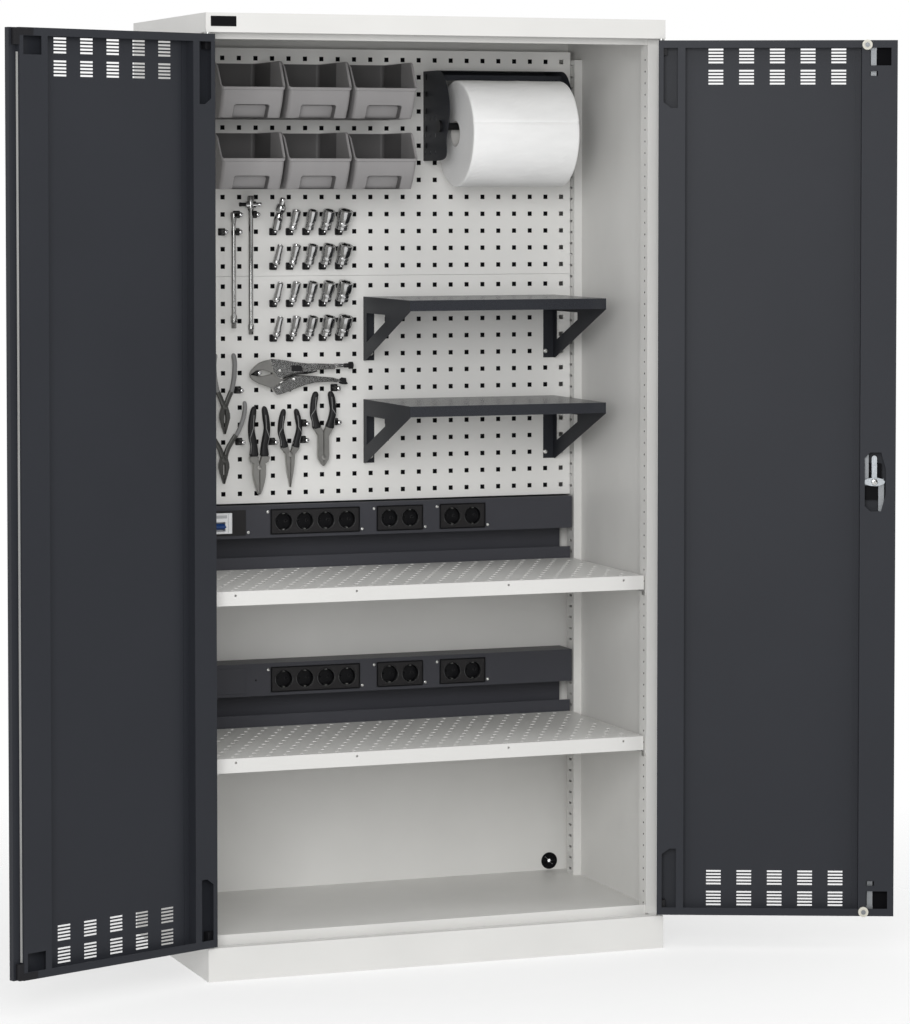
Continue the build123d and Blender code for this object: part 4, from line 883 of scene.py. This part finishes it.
class CABINET_OT_drive_bars(bpy.types.Operator):
    """An extension bar and a sliding T bar"""

    bl_idname = "cabinet.drive_bars"
    bl_label = "Drive bars"

    def execute(self, context):
        chrome, bar_finish = FINISHES["polished chrome"], FINISHES["bar chrome"]

        def flats(row, t):
            """Four flats at the drive end, none elsewhere."""
            square = np.cos(np.pi / 4) / np.cos((t % (np.pi / 2)) - np.pi / 4)
            return np.where((row >= 1) & (row <= 3), square, 1.0)

        extension = bar_profile(
            1.334, 1.588, mm((0, 0), (5, 0), (5.6, 1), (5.6, 11), (7.2, 13), (7.2, 26), (5, 31)),
            mm((5, -36), (4.6, -34), (4.6, -24), (6.6, -14), (6.8, -2), (6, 0), (0, 0)))
        x, top = SLIDING_BAR
        stem = bar_profile(
            1.320, top,
            mm((0, 0), (4.8, 0), (5.4, 1), (5.4, 10), (6.6, 12), (6.6, 20), (4.8, 24)),
            mm((4.8, -34), (7, -30), (7.4, -27), (7.4, -3), (6.2, 0), (0, 0)))
        patches = [(revolve(profile, (place, TOOL_PLANE, 0), (0, 0, 1), 32, flats), bar_finish)
                   for place, profile in ((EXTENSION_BAR, extension), (x, stem))]
        arm = mm((0, -26.2), (4, -26), (4.6, -25.2), (4.6, -21.5), (4, -20.5), (4, -12), (0, -11.5))
        block = mm((0, -12), (6.2, -12), (7, -11), (7, 11), (6.2, 12), (4, 12.2), (4, 18.5),
                   (4.6, 19.5), (4.6, 23.5), (3.6, 24.5), (0, 24.5))
        crossing = (x, TOOL_PLANE, top - 0.019)
        for profile, finish in ((arm, FINISHES["hook black"]), (block, chrome)):
            patches.append((revolve(profile, crossing, (1, 0, 0), 28), finish))
        add_piece("drive_bar_set", "cabinet", patches, ("drive_bars",))
        return {"FINISHED"}


# Pliers: grip centre lines, grip girths and head outlines, in millimetres from the pivot

class Pliers:
    """One pair of pliers that hangs head down."""

    def __init__(self, x, z, grip, girth, arm, head, bolt, slim=False):
        self.x, self.z = x, z
        self.grip = np.array(grip) / 1000
        self.girth = girth / 1000
        self.arm = np.array(arm) / 1000
        self.head = np.array(head) / 1000
        self.bolt = bolt / 1000
        self.slim = slim


SLIM_HEAD = ((0.5, -60), (1.8, -60), (4.7, -50), (8.3, -38), (11.8, -25), (11.4, -16), (8.5, -6),
             (5.5, 3), (0.5, 3), (0.5, -14), (2.2, -21), (2.0, -42), (0.8, -50))
PLIERS = {
    "circlip_pliers_upper": Pliers(
        -0.332, 1.163, ((16, 32), (21.5, 60), (23.4, 84), (23, 100), (20, 116)), 5.2,
        ((0.5, -4), (7, 14), (16, 34)), SLIM_HEAD, 0, True),
    "circlip_pliers_lower": Pliers(
        -0.334, 1.054, ((27.6, 44), (37, 61), (45.3, 84), (48.5, 105), (47.5, 120)), 4.6,
        ((3, -4), (8, 14), (17, 30), (27.6, 46)), SLIM_HEAD, -8, True),
    "combination_pliers": Pliers(
        -0.253, 1.050, ((12, 2), (12, 25), (16, 45), (18, 66), (15.2, 88), (11.3, 112)), 8.2,
        ((11, -10), (12, 4), (12, 16)),
        ((0.4, -82), (2.5, -81), (6, -74), (11.5, -54), (14.5, -38), (14.5, -18), (13, -14),
         (20, -10), (23.5, -1), (22, 2), (5, 3), (1.8, -8), (0.4, -14)), -22),
    "long_nose_pliers": Pliers(
        -0.182, 1.068, ((12.8, 2), (15.7, 18), (20.5, 35), (21.2, 49), (18, 68), (13.5, 87)), 7.3,
        ((8, -8), (11, 2), (13, 12)),
        ((0.4, -85), (1.3, -85), (4, -67), (6.4, -56), (9, -36), (10.5, -14), (11.5, -11),
         (15, -7), (21, 0), (20, 3), (6, 4), (1.6, -6), (0.4, -12)), -13),
    "cutting_pliers": Pliers(
        -0.105, 1.112, ((14.5, -1), (18.5, 16), (22.2, 30), (22.7, 44), (20, 64), (16, 80)), 8.2,
        ((9, -12), (12, -2), (14.5, 8)),
        ((0.3, -85), (5.5, -80), (11.4, -70), (13, -60), (12.6, -42), (12.4, -19), (17, -10),
         (23.5, -1), (22, 2), (7, 3), (1.4, -7), (0.3, -12)), -66),
}


def plier_patches(tool):
    """Swept grips and arms, two flat half heads and a pivot bolt."""
    y = TOOL_PLANE
    steel = FINISHES["gun black" if tool.slim else "satin tool steel"]
    grip = FINISHES["grip grey" if tool.slim else "grip black"]
    arm_girth = 0.0052 if tool.slim else 0.0070
    patches = []
    for side in (-1, 1):
        arm = smooth_path([(tool.x + side * u, y, tool.z + v) for u, v in tool.arm], 12)
        patches.append((sweep(arm, arm_girth, 0.0045, (0, 1, 0), 20, 4.0), steel))
        cover = smooth_path([(tool.x + side * u, y, tool.z + v) for u, v in tool.grip], 40)
        s = np.linspace(0, 1, len(cover))
        swell = np.interp(s, (0, 0.01, 0.04, 0.2, 0.38, 0.58, 0.8, 0.93, 0.98, 1.0),
                          (1.0, 1.22, 1.22, 0.94, 1.0, 0.88, 0.94, 0.80, 0.55, 0.25))
        if tool.slim:
            swell = np.interp(s, (0, 0.02, 0.9, 0.97, 1.0), (0.9, 1.0, 1.0, 0.8, 0.4))
        depth = np.minimum(tool.girth, 0.0068) * np.sqrt(swell)
        patches.append((sweep(cover, tool.girth * swell, depth, (0, 1, 0), 28, 2.5), grip))
        if not tool.slim:
            shift = np.interp(s[2:-6], (0, 0.38, 0.58, 1), (0.9, 0.8, -0.45, 0.05))
            line = cover[2:-6].copy()
            line[:, 0] += side * shift * tool.girth * swell[2:-6]
            line[:, 1] -= depth[2:-6] * (1 - np.abs(shift) ** 2.5) ** 0.4 - 0.0001
            patches.append((sweep(line, 0.0009, 0.0006, (0, 1, 0), 8, 2.0),
                            FINISHES["grip grey"]))
        outline = tool.head * (side, 1) + (tool.x, tool.z)
        patches.append((plate(outline[::side], y - 0.0052, y + 0.0050, 0.0008), steel, "capped"))
    bolt = mm((0, -6.8), (3.2, -6.8), (5.2, -6.4), (5.6, -5.6), (5.6, 5), (0, 5))
    patches.append((revolve(bolt, (tool.x, y, tool.z + tool.bolt), (0, 1, 0), 24), steel))
    return patches


class CABINET_OT_pliers(bpy.types.Operator):
    """Five pliers that hang head down between their hooks"""

    bl_idname = "cabinet.pliers"
    bl_label = "Pliers"

    def execute(self, context):
        for name, tool in PLIERS.items():
            add_piece(name, "cabinet", plier_patches(tool), ("pliers",), 40.0)
        return {"FINISHED"}


# Locking pliers: outlines of jaws, handles, the window's painted shade and end tab in millimetres
# from their place

LOCKING_PLACE = (-0.150, 1.230)

UPPER_JAW = (
    (-127, 2.2), (-123.4, 11.5), (-115.2, 20.3), (-104.5, 27.7), (-92.7, 32.2), (-78.6, 34.9),
    (-64.4, 27.7), (-54.9, 9.6), (-54.9, -6.2), (-69.1, -6.2), (-75, 5.6), (-86.8, 10.1),
    (-99.8, 12.8), (-112.8, 10.5), (-123, 3.8),
)
LOWER_JAW = (
    (-127, 1.1), (-123, 2), (-115.2, 0.6), (-104.5, -1.7), (-92.7, -0.7), (-80.9, 2), (-70.3, 2.4),
    (-54.9, -6.2), (-50.2, -12.9), (-59.7, -33.3), (-69.1, -35.5), (-77.4, -27.6), (-88, -23.6),
    (-104.5, -17.9), (-118.7, -10.2), (-125.3, -3.5),
)
UPPER_GRIP = (
    (-80.9, 34), (-77.4, 35.8), (-59.7, 34.9), (-40.8, 31.8), (-17.1, 27.7), (6.5, 25),
    (30.1, 24.8), (69.1, 22.7), (70.7, 18.7), (69.1, 11.5), (20.7, 10.8), (13.6, 6.3), (-7.7, 5.1),
    (-24.2, 3.3), (-40.8, -0.5), (-52.6, -7.3), (-64.4, -6.2), (-73.8, 7.4),
)
LOWER_GRIP = (
    (-76.2, -28.3), (-62, -17.5), (-45.5, -10.2), (-36, -4.4), (-24.2, -0.5), (-5.3, -1.2),
    (18.3, -2.8), (44.3, -5), (65.5, -7.3), (78.5, -10.7), (84.4, -16.3), (75, -17.5),
    (53.7, -16.3), (25.4, -17), (1.8, -21.5), (-21.9, -29.9), (-40.8, -36.7), (-58.5, -42.3),
    (-64.4, -42.8), (-70.3, -36.7),
)
# Painted shade: a black plate over the handle's window stands for the shade inside the handle
WINDOW_SHADE = (
    (-32.5, 21.4), (-8.9, 20.9), (-5.3, 7.8), (-31.3, 8.3),
)
END_TAB = (
    (78.5, -12.9), (86.8, -7.3), (96.2, -8.9), (96.9, -16.3), (100.5, -21.5), (95.1, -23.1),
    (86.8, -22.4), (80.9, -20.2),
)


class CABINET_OT_locking_pliers(bpy.types.Operator):
    """Locking pliers laid across two hooks"""

    bl_idname = "cabinet.locking_pliers"
    bl_label = "Locking pliers"

    def execute(self, context):
        steel, black = FINISHES["bright zinc"], FINISHES["grip black"]
        satin = FINISHES["satin tool steel"]
        y = PEG_FACE - 0.026
        # The black plate over the window is painted shade
        layers = (
            (UPPER_JAW, -0.0045, 0.0045, 0.0008, satin), (LOWER_JAW, -0.0040, 0.0040, 0.0008, satin),
            (UPPER_GRIP, -0.0068, 0.0068, 0.0016, steel),
            (LOWER_GRIP, -0.0058, 0.0058, 0.0016, steel),
            (WINDOW_SHADE, -0.0071, -0.0060, 0.0003, black), (END_TAB, -0.0030, 0.0030, 0.0008, black),
        )
        patches = [
            (plate(mm(*outline) + np.array(LOCKING_PLACE), y + front, y + back, bevel),
             finish, "capped")
            for outline, front, back, bevel, finish in layers]
        rivet = mm((0, -9.2), (1.8, -9), (3.2, -8), (3.4, -5.5), (3.4, 5), (0, 5))
        for x, z in ((-0.2080, 1.2403), (-0.1754, 1.2211), (-0.2097, 1.2028)):
            patches.append((revolve(rivet, (x, y, z), (0, 1, 0), 20), steel))
        # Painted shade: a black strip laid in front of the slot between handle and spring, where the
        # slot lies in shade
        gap_shade = smooth_path([(-0.2010, y - 0.0050, 1.2225), (-0.1765, y - 0.0055, 1.2310),
                           (-0.1400, y - 0.0060, 1.2345), (-0.1230, y - 0.0060, 1.2385)], 20)
        patches.append((sweep(gap_shade, 0.0016, 0.0013, (0, 1, 0), 12, 2.5), black))
        screw = mm((-81, 4.4), (-79, 4.8), (-62, 4.4), (-60, 3.4), (-58, 4.8), (-48, 4.8),
                   (-46.5, 8), (-38.5, 8), (-37.5, 6.6))
        path = [(x, y, 1.2490) for x, r in screw]
        radii = [r for x, r in screw]
        patches.append((sweep(path[:4], radii[:4], radii[:4], (0, 1, 0), 24, 2.0), steel))
        patches.append((sweep(path[3:], radii[3:], radii[3:], (0, 1, 0), 24, 2.0), black))
        add_piece("locking_pliers", "cabinet", patches, ("pliers",), 40.0)
        return {"FINISHED"}


# Power channels

def frame_rows(x, z, half, tall, corner, profile):
    """A band round a rounded rectangle: each profile step is an inset and a depth."""
    rows = []
    for inset, y in profile:
        ring = rectangle_ring(half - inset, tall - 2 * inset, max(corner - inset, 0.0003),
                              FRAME_SIDES, 5)
        ring = ring + (x, z - tall / 2 + inset)
        rows.append(np.stack([ring[:, 0], np.full(len(ring), y), ring[:, 1]], axis=1))
    return np.array(rows)


def lip_profile(face, *steps):
    """Insets and depths of a frame's edge: millimetres inward, and millimetres behind its face."""
    return [(inset, face + depth) for inset, depth in mm(*steps)]


def gang_places(x, count):
    """Centres of a module's outlets."""
    return [x + (k - (count - 1) / 2) * OUTLET_PITCH for k in range(count)]


class CABINET_OT_outlets(bpy.types.Operator):
    """Raised rims, pin sleeves and sprung earth clips of every outlet"""

    bl_idname = "cabinet.outlets"
    bl_label = "Outlets"

    def execute(self, context):
        black, clip = FINISHES["outlet black"], FINISHES["zinc plate"]
        shine, dark = FINISHES["outlet rim"], FINISHES["painted shade black"]
        face = CHANNEL_FACE - 0.0015
        cup_depth, pin_shift = 0.0147, 0.0095
        rim = mm((19, 4), (19, 0.2), (19.3, -0.8), (19.9, -1.3), (20.8, -1.2), (21.3, -0.6),
                 (21.5, 0.2))
        cup = mm((18.9, 1.5), (18.8, 14), (18, 14.7), (0, 14.7))
        sleeve = mm((2.4, 1.5), (2.5, -0.4), (3, -0.8), (3.6, -0.4), (3.7, 0.4))
        # Painted shade: a black disc at the floor of each pin sleeve stands for the shade down the
        # pin hole
        hole = mm((2.4, -0.2), (0, -0.2))
        bow = mm((15, 19.2), (4, 19), (0.5, 18.6), (0.2, 17.2), (3, 16), (7.5, 16), (14, 17.4))
        edge = lip_profile(face, (0, 1), (0, -1.2), (0.7, -2), (1.8, -2), (2.4, -1.4), (2.4, 1),
                           (0, 1))
        for level, top in SHELF_TOPS.items():
            z = top + MODULE_RISE
            rims, clips = [], []
            for x, width, count in MODULES:
                rims.append((frame_rows(x, z, width / 2, MODULE_HEIGHT, 0.0030, edge), black))
                for place in gang_places(x, count):
                    rims.append((revolve(rim, (place, face, z), (0, 1, 0), 44), shine))
                    rims.append((revolve(cup, (place, CHANNEL_FACE, z), (0, 1, 0), 44), black))
                    for shift in (-pin_shift, pin_shift):
                        floor = (place + shift, CHANNEL_FACE + cup_depth, z)
                        rims.append((revolve(sleeve, floor, (0, 1, 0), 18), shine))
                        # Painted shade: the black disc in the pin hole
                        rims.append((revolve(hole, floor, (0, 1, 0), 18), dark))
                    for end in (-1, 1):
                        path = smooth_path(
                            [(place, CHANNEL_FACE + y, z + end * h) for y, h in bow], 26)
                        clips.append((sweep(path, 0.0025, 0.0004, (0, 0.2, end), 10, 5.0), clip))
            add_piece(f"outlet_rims_{level}", "cabinet", rims)
            add_piece(f"earth_clips_{level}", "cabinet", clips)
        return {"FINISHED"}


def toggle_outline(z):
    """Side view of the toggle: a barrel with a tapered lever, as (y, z) points."""
    turn = np.radians(np.arange(-157, 158, 15))
    barrel = np.stack([0.0068 * np.cos(turn), 0.0068 * np.sin(turn)], axis=1)
    lever = np.array([(-0.0085, 0.0024), (-0.0150, 0.0020), (-0.0161, 0.0012),
                      (-0.0161, -0.0012), (-0.0150, -0.0020), (-0.0085, -0.0024)])
    return np.concatenate([barrel, lever]) + (CHANNEL_FACE, z)


class CABINET_OT_breaker(bpy.types.Operator):
    """Edges, label strip, seam and toggle of the breaker"""

    bl_idname = "cabinet.breaker"
    bl_label = "Breaker"

    def execute(self, context):
        x, z = BREAKER
        white, grey = FINISHES["breaker white"], FINISHES["breaker grey"]
        front = CHANNEL_FACE - 0.008
        toggle = z - 0.007
        edge = lip_profile(front, (0, 4), (0, 0.2), (0.7, -0.6), (2.2, -0.6), (2.6, 0), (2.6, 2),
                           (0, 4))
        mouth = lip_profile(front, (-2.2, 0.4), (-1.8, -0.8), (-0.8, -1), (0.1, -0.6), (0.1, 6),
                            (-1, 6), (-2.2, 0.4))
        seam = lip_profile(front, (0, 0.6), (0, -0.4), (0.3, -0.5), (0.3, 0.6), (0, 0.6))
        window = lip_profile(front, (0, 0.4), (0, -0.3), (0.4, -0.5), (1, -0.5))
        patches = [
            (frame_rows(x, z, 0.0271, 0.0452, 0.0016, edge), white),
            (frame_rows(x, toggle, 0.0116, 0.0206, 0.0012, mouth), white),
            (frame_rows(x + 0.0185, z, 0.0006, 0.0400, 0.0004, seam), grey),
            (frame_rows(x + 0.003, z + 0.0150, 0.0125, 0.0070, 0.0008, window), grey, "capped"),
        ]
        collar = mm((4.1, 2), (4.1, -0.8), (4.6, -1.2), (5.4, -1), (5.6, 0.4))
        button = (x - 0.016, front, z + 0.014)
        patches.append((revolve(collar, button, (0, 1, 0), 28), white))
        add_piece("breaker_front", "cabinet", patches)
        blue, half = FINISHES["toggle blue"], 0.0115
        piece = [(plate(toggle_outline(toggle), x - half, x + half, 0.0006, 0), blue, "capped")]
        for step in (-0.0009, 0.0009):
            rib = [(x + s, CHANNEL_FACE - 0.0160, toggle + step) for s in (-0.0095, 0.0095)]
            piece.append((sweep(rib, 0.0005, 0.0005, (0, 1, 0), 10, 2.0), blue))
        add_piece("breaker_lever", "breaker_toggle", piece, ("breaker_toggle",))
        return {"FINISHED"}


def cross_screw(place, radius, rise):
    """Pan head with a cross recess: a dome over a disc, pressed in where |x| or |z| is small."""
    share = np.array((0, 0.10, 0.16, 0.22, 0.30, 0.40, 0.50, 0.58, 0.66, 0.80, 0.92, 0.99, 1.0, 1.0))
    share = share[:, None]
    t = np.linspace(0, 2 * np.pi, 49)[None]
    u, v = share * np.cos(t), share * np.sin(t)
    dome = rise * np.sqrt(np.clip(1.02 - share ** 2.6, 0, 1))
    arm = np.clip((0.17 - np.minimum(abs(u), abs(v))) / 0.06, 0, 1)
    reach = np.clip((0.62 - np.maximum(abs(u), abs(v))) / 0.10, 0, 1)
    height = dome - 0.75 * rise * arm * reach
    height[-2:] = ((0.12 * rise,), (-0.0003,))
    return np.stack([place[0] + radius * u, place[1] - height, place[2] + radius * v], axis=2)


class CABINET_OT_screws(bpy.types.Operator):
    """Cross-head screws of outlets, breaker frame and small shelves"""

    bl_idname = "cabinet.screws"
    bl_label = "Screws"

    def execute(self, context):
        finish = FINISHES["screw zinc"]
        beside, above = 0.006, 0.022
        patches = []
        for level, top in SHELF_TOPS.items():
            rows = [(x, width) for x, width, count in MODULES]
            if level == "upper":
                rows.append(BLANK_COVER)
            for x, width in rows:
                for end in (-1, 1):
                    place = (x + end * (width / 2 + beside), CHANNEL_FACE,
                             top + MODULE_RISE - end * above)
                    patches.append((cross_screw(place, 0.0034, 0.0018), finish))
        for top in SMALL_SHELF_TOPS:
            for x in SHELF_SCREWS:
                place = (x, PEG_FACE - 0.0012, top - SHELF_SCREW_DROP)
                patches.append((cross_screw(place, 0.0054, 0.0028), finish))
        add_piece("pan_head_screws", "cabinet", patches, ("cross_head_screws",))
        return {"FINISHED"}


class CABINET_OT_plates(bpy.types.Operator):
    """The bare badge plate of the cap and the blank cover of the lower channel"""

    bl_idname = "cabinet.plates"
    bl_label = "Bare plates"

    def execute(self, context):
        lip = lip_profile(FRONT, (0, 0.4), (0, -0.8), (0.6, -1.4), (1.4, -1.4), (1.8, -0.9),
                          (2.5, -0.9))
        badge = frame_rows(-0.47375, 1.9825, 0.02725, 0.021, 0.0012, lip)
        add_piece("badge_plate", "cabinet",
                  [(badge, FINISHES["lock case black"], "capped")])
        rise = lip_profile(CHANNEL_FACE, (0, 0.4), (0, -0.6), (0.4, -1), (1.2, -1))
        x, width = BLANK_COVER
        z = SHELF_TOPS["lower"] + MODULE_RISE
        cover = frame_rows(x, z, width / 2, MODULE_HEIGHT, 0.002, rise)
        dot = mm((0, -1.2), (1.4, -1), (2, -0.4), (2, 0.4))
        button = revolve(dot, (-0.262, CHANNEL_FACE, z), (0, 1, 0), 16)
        patches = [(cover, FINISHES["channel coat"], "capped"), (button, FINISHES["outlet black"])]
        add_piece("blank_cover", "cabinet", patches)
        return {"FINISHED"}


# Lock

class CABINET_OT_lock_fittings(bpy.types.Operator):
    """Rounded T handle, centre screw of the cam, black sheets of painted shade in the stile's end
    openings, and the rollers
    """

    bl_idname = "cabinet.lock_fittings"
    bl_label = "Lock fittings"

    def execute(self, context):
        inward = door_frame(1)[2]
        s, z = LOCK_PLACE
        black = FINISHES["hinge block"]
        foot = door_point(1, s, 0, z)
        neck = mm((0, -0.3), (23.6, -0.3), (24.8, -1), (25, -3), (24.2, -5.2), (21.5, -6.3),
                  (11, -7), (9.2, -9.5), (9.2, -15), (10.5, -20), (0, -20))
        patches = [(revolve(neck, foot, inward, 44), black)]
        half_bar = 0.042
        upper = [(0, 1), (0.020, 1), (0.034, 0.97), (0.040, 0.84), (0.0417, 0.62), (half_bar, 0.35)]
        rise, girth = np.array([(-h, g) for h, g in upper[:0:-1]] + upper).T
        bow = -0.0245 - 0.002 * (1 - (rise / half_bar) ** 2)
        path = np.array([door_point(1, s, d, z + h) for h, d in zip(rise, bow)])
        patches.append((sweep(path, 0.0108 * girth, 0.0083 * girth, inward, 36, 2.8), black))
        bezel = mm((8, -30), (8, -34.7), (8.6, -35.1), (9.8, -34.9), (10.4, -34))
        patches.append((revolve(bezel, foot, inward, 36), FINISHES["polished chrome"]))
        add_piece("rounded_t_handle", "lock", patches, ("t_handle",))
        head = mm((0, 25), (4.8, 25), (6.2, 25.6), (6.6, 26.6), (6, 28), (4, 28.8), (2.6, 28.8),
                  (2.2, 27), (0, 27))

        def flats(row, t):
            """Six flats inside the drive, a round head outside."""
            hexagon = np.cos(np.pi / 6) / np.cos((t % (np.pi / 3)) - np.pi / 6)
            return np.where(row >= 6, hexagon, 1.0)

        add_piece("cam_screw", "lock",
                  [(revolve(head, foot, inward, 36, flats), FINISHES["bright zinc"])])
        rim = mm((3.05, 26), (9, 26), (10.4, 26.5), (11, 27.5), (11, 32), (10.5, 33.1), (9.4, 33.5),
                 (7.4, 33.5), (7, 32.9), (4.8, 32.9), (4.4, 33.5), (3.05, 33.5), (3.05, 26))
        # Painted shade: thin black sheets just inside the lock stile's end openings stand for the
        # shade within the stile
        painted_shades = []
        for low, high in ((0.086, 0.154), (1.876, 1.944)):
            sheet = plate(box_outline(0.440, 0.500, low, high), 0.0080, 0.0085, 0.0002)
            painted_shades.append((onto_door(1, sheet), FINISHES["painted shade black"], "capped"))
        add_piece("stile_shade_sheets", "door_right", painted_shades)
        for name, height in (("roller_top", 1.946), ("roller_bottom", 0.084)):
            centre = door_point(1, 0.444, 0, height)
            add_piece(f"cream_{name}", name,
                      [(revolve(rim, centre, inward, 40), FINISHES["roller cream"])], (name,))
        return {"FINISHED"}


# Floor, lights and camera: metres, watts, millimetres of lens, degrees

FLOOR_HALF = 3.4
# Lamps: name, place, target, size and power
LAMPS = (
    ("front lamp", (-2.6, -6.0, 2.4), (0, 0, 1.1), 3.2, 230),
    ("side lamp", (4.6, -3.6, 3.0), (0, 0, 1.0), 2.6, 40),
    ("top lamp", (0.0, -1.0, 4.6), (0, -0.2, 0.6), 3.2, 30),
)
CAMERA_PLACE = (-2.6962, -7.6473, 1.643)
CAMERA_TILT = 87.45
CAMERA_TURN = -20.31
LENS = 131.55
LENS_SHIFT = -0.1546


def floor_finish():
    """Pale floor that stays white for the camera, keeps the shadow and fades at its rim."""
    material, tree, shader, place = node_tree("studio floor")
    light = tree.nodes.new("ShaderNodeLightPath")
    pale = tree.nodes.new("ShaderNodeMix")
    pale.data_type = "RGBA"
    pale.inputs["A"].default_value = (0.80, 0.80, 0.80, 1)
    pale.inputs["B"].default_value = (1.0, 1.0, 1.0, 1)
    tree.links.new(light.outputs["Is Camera Ray"], pale.inputs["Factor"])
    tree.links.new(pale.outputs["Result"], shader.inputs["Base Color"])
    shader.inputs["Specular IOR Level"].default_value = 0.15
    shader.inputs["Roughness"].default_value = 0.75
    distance = tree.nodes.new("ShaderNodeVectorMath")
    distance.operation = "LENGTH"
    tree.links.new(place, distance.inputs[0])
    clear = tree.nodes.new("ShaderNodeBsdfTransparent")
    join = tree.nodes.new("ShaderNodeMixShader")
    tree.links.new(spread(tree, distance.outputs["Value"], 0.55, 1.0, 0.6, 2.2),
                   join.inputs["Fac"])
    tree.links.new(shader.outputs["BSDF"], join.inputs[1])
    tree.links.new(clear.outputs["BSDF"], join.inputs[2])
    tree.links.new(join.outputs["Shader"], tree.nodes["Material Output"].inputs["Surface"])
    return material


def studio_world():
    """White where it is seen or mirrored, a plain even light elsewhere."""
    world = bpy.data.worlds.new("studio")
    bpy.context.scene.world = world
    world.use_nodes = True
    tree = world.node_tree
    backdrop = tree.nodes["Background"]
    light = tree.nodes.new("ShaderNodeLightPath")
    seen = light.outputs["Is Camera Ray"]
    for output in ("Is Glossy Ray", "Is Transmission Ray"):
        either = tree.nodes.new("ShaderNodeMath")
        either.operation = "MAXIMUM"
        tree.links.new(seen, either.inputs[0])
        tree.links.new(light.outputs[output], either.inputs[1])
        seen = either.outputs["Value"]
    backdrop.inputs["Color"].default_value = (1.0, 1.0, 1.0, 1)
    tree.links.new(spread(tree, seen, 0.56, 1.0, 0.0, 1.0), backdrop.inputs["Strength"])


def studio_sheet(name, points, finish):
    """A bare sheet of the studio from a grid of points."""
    mesh = bpy.data.meshes.new(name)
    faces = grid_faces(*points.shape[:2]).tolist()
    mesh.from_pydata(points.reshape(-1, 3).tolist(), [], faces)
    mesh.materials.append(finish)
    sheet = bpy.data.objects.new(name, mesh)
    bpy.context.collection.objects.link(sheet)
    return sheet


def dark_flag():
    """A black curved wall behind the camera that only polished parts can mirror."""
    radius = 10.5
    t, h = np.meshgrid(np.radians(np.linspace(-150, -20, 25)), np.linspace(-0.5, 7.0, 6))
    material, tree, shader, place = node_tree("flag cloth")
    weave = noise(tree, place, 3.0)
    tree.links.new(tint(tree, weave, (0.006,) * 3, (0.02,) * 3), shader.inputs["Base Color"])
    flag = studio_sheet(
        "studio_flag", np.stack([radius * np.cos(t), radius * np.sin(t), h], axis=2), material)
    flag.visible_camera = flag.visible_diffuse = flag.visible_shadow = False


def soft_lamp(name, place, target, size, power):
    """A square studio lamp that points at a target."""
    data = bpy.data.lights.new(name, "AREA")
    data.shape = "SQUARE"
    data.size = size
    data.energy = power
    lamp = bpy.data.objects.new(name, data)
    lamp.location = place
    lamp.rotation_euler = (Vector(target) - Vector(place)).to_track_quat("-Z", "Y").to_euler()
    bpy.context.collection.objects.link(lamp)


class CABINET_OT_studio(bpy.types.Operator):
    """Floor, plain lights and the camera at the viewing angle"""

    bl_idname = "cabinet.studio"
    bl_label = "Studio"

    def execute(self, context):
        steps = np.linspace(-FLOOR_HALF, FLOOR_HALF, 15)
        u, v = np.meshgrid(steps, steps)
        floor = studio_sheet(
            "studio_floor", np.stack([u, v, np.zeros_like(u)], axis=2), floor_finish())
        studio_world()
        dark_flag()
        for name, place, target, size, power in LAMPS:
            soft_lamp(name, place, target, size, power)
        data = bpy.data.cameras.new("camera")
        data.sensor_width = 36.0
        data.lens = LENS
        data.shift_y = LENS_SHIFT
        data.clip_end = 60.0
        camera = bpy.data.objects.new("camera", data)
        camera.location = CAMERA_PLACE
        camera.rotation_euler = (math.radians(CAMERA_TILT), 0, math.radians(CAMERA_TURN))
        context.collection.objects.link(camera)
        context.scene.camera = camera
        context.scene.view_settings.view_transform = "Standard"
        return {"FINISHED"}


STEPS = ("frame_finishes", "panel_linings", "bins", "paper_roll", "hooks", "socket_bits",
         "drive_bars", "pliers", "locking_pliers", "outlets", "breaker", "screws", "plates",
         "lock_fittings", "studio")


class CABINET_PT_dressing(bpy.types.Panel):
    """Sidebar list of colours, sizes and pieces"""

    bl_idname = "CABINET_PT_dressing"
    bl_label = "Charging cabinet"
    bl_space_type = "VIEW_3D"
    bl_region_type = "UI"
    bl_category = "Cabinet"

    def draw(self, context):
        for group in (finishes(), sizes()):
            column = self.layout.column(align=True)
            for name in group.bl_rna.properties.keys():
                if name not in ("rna_type", "name"):
                    column.prop(group, name)
        for step in STEPS:
            self.layout.operator(f"cabinet.{step}")


CLASSES = (
    CabinetFinishes, CabinetSizes, CABINET_OT_frame_finishes, CABINET_OT_shade_sheets_and_hook_heads,
    CABINET_OT_bins, CABINET_OT_paper_roll, CABINET_OT_hooks, CABINET_OT_socket_bits,
    CABINET_OT_drive_bars, CABINET_OT_pliers, CABINET_OT_locking_pliers, CABINET_OT_outlets,
    CABINET_OT_breaker, CABINET_OT_screws, CABINET_OT_plates, CABINET_OT_lock_fittings,
    CABINET_OT_studio, CABINET_PT_dressing,
)


def register():
    """Registers every class and gives the scene its two groups of settings."""
    for cls in CLASSES:
        bpy.utils.register_class(cls)
    bpy.types.Scene.cabinet_finishes = PointerProperty(type=CabinetFinishes)
    bpy.types.Scene.cabinet_sizes = PointerProperty(type=CabinetSizes)


def unregister():
    """Takes the settings and the classes out again."""
    del bpy.types.Scene.cabinet_sizes
    del bpy.types.Scene.cabinet_finishes
    for cls in reversed(CLASSES):
        bpy.utils.unregister_class(cls)


def main():
    """Registers the add-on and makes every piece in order."""
    register()
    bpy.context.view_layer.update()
    for step in STEPS:
        getattr(bpy.ops.cabinet, step)()


if __name__ == "__main__":
    main()
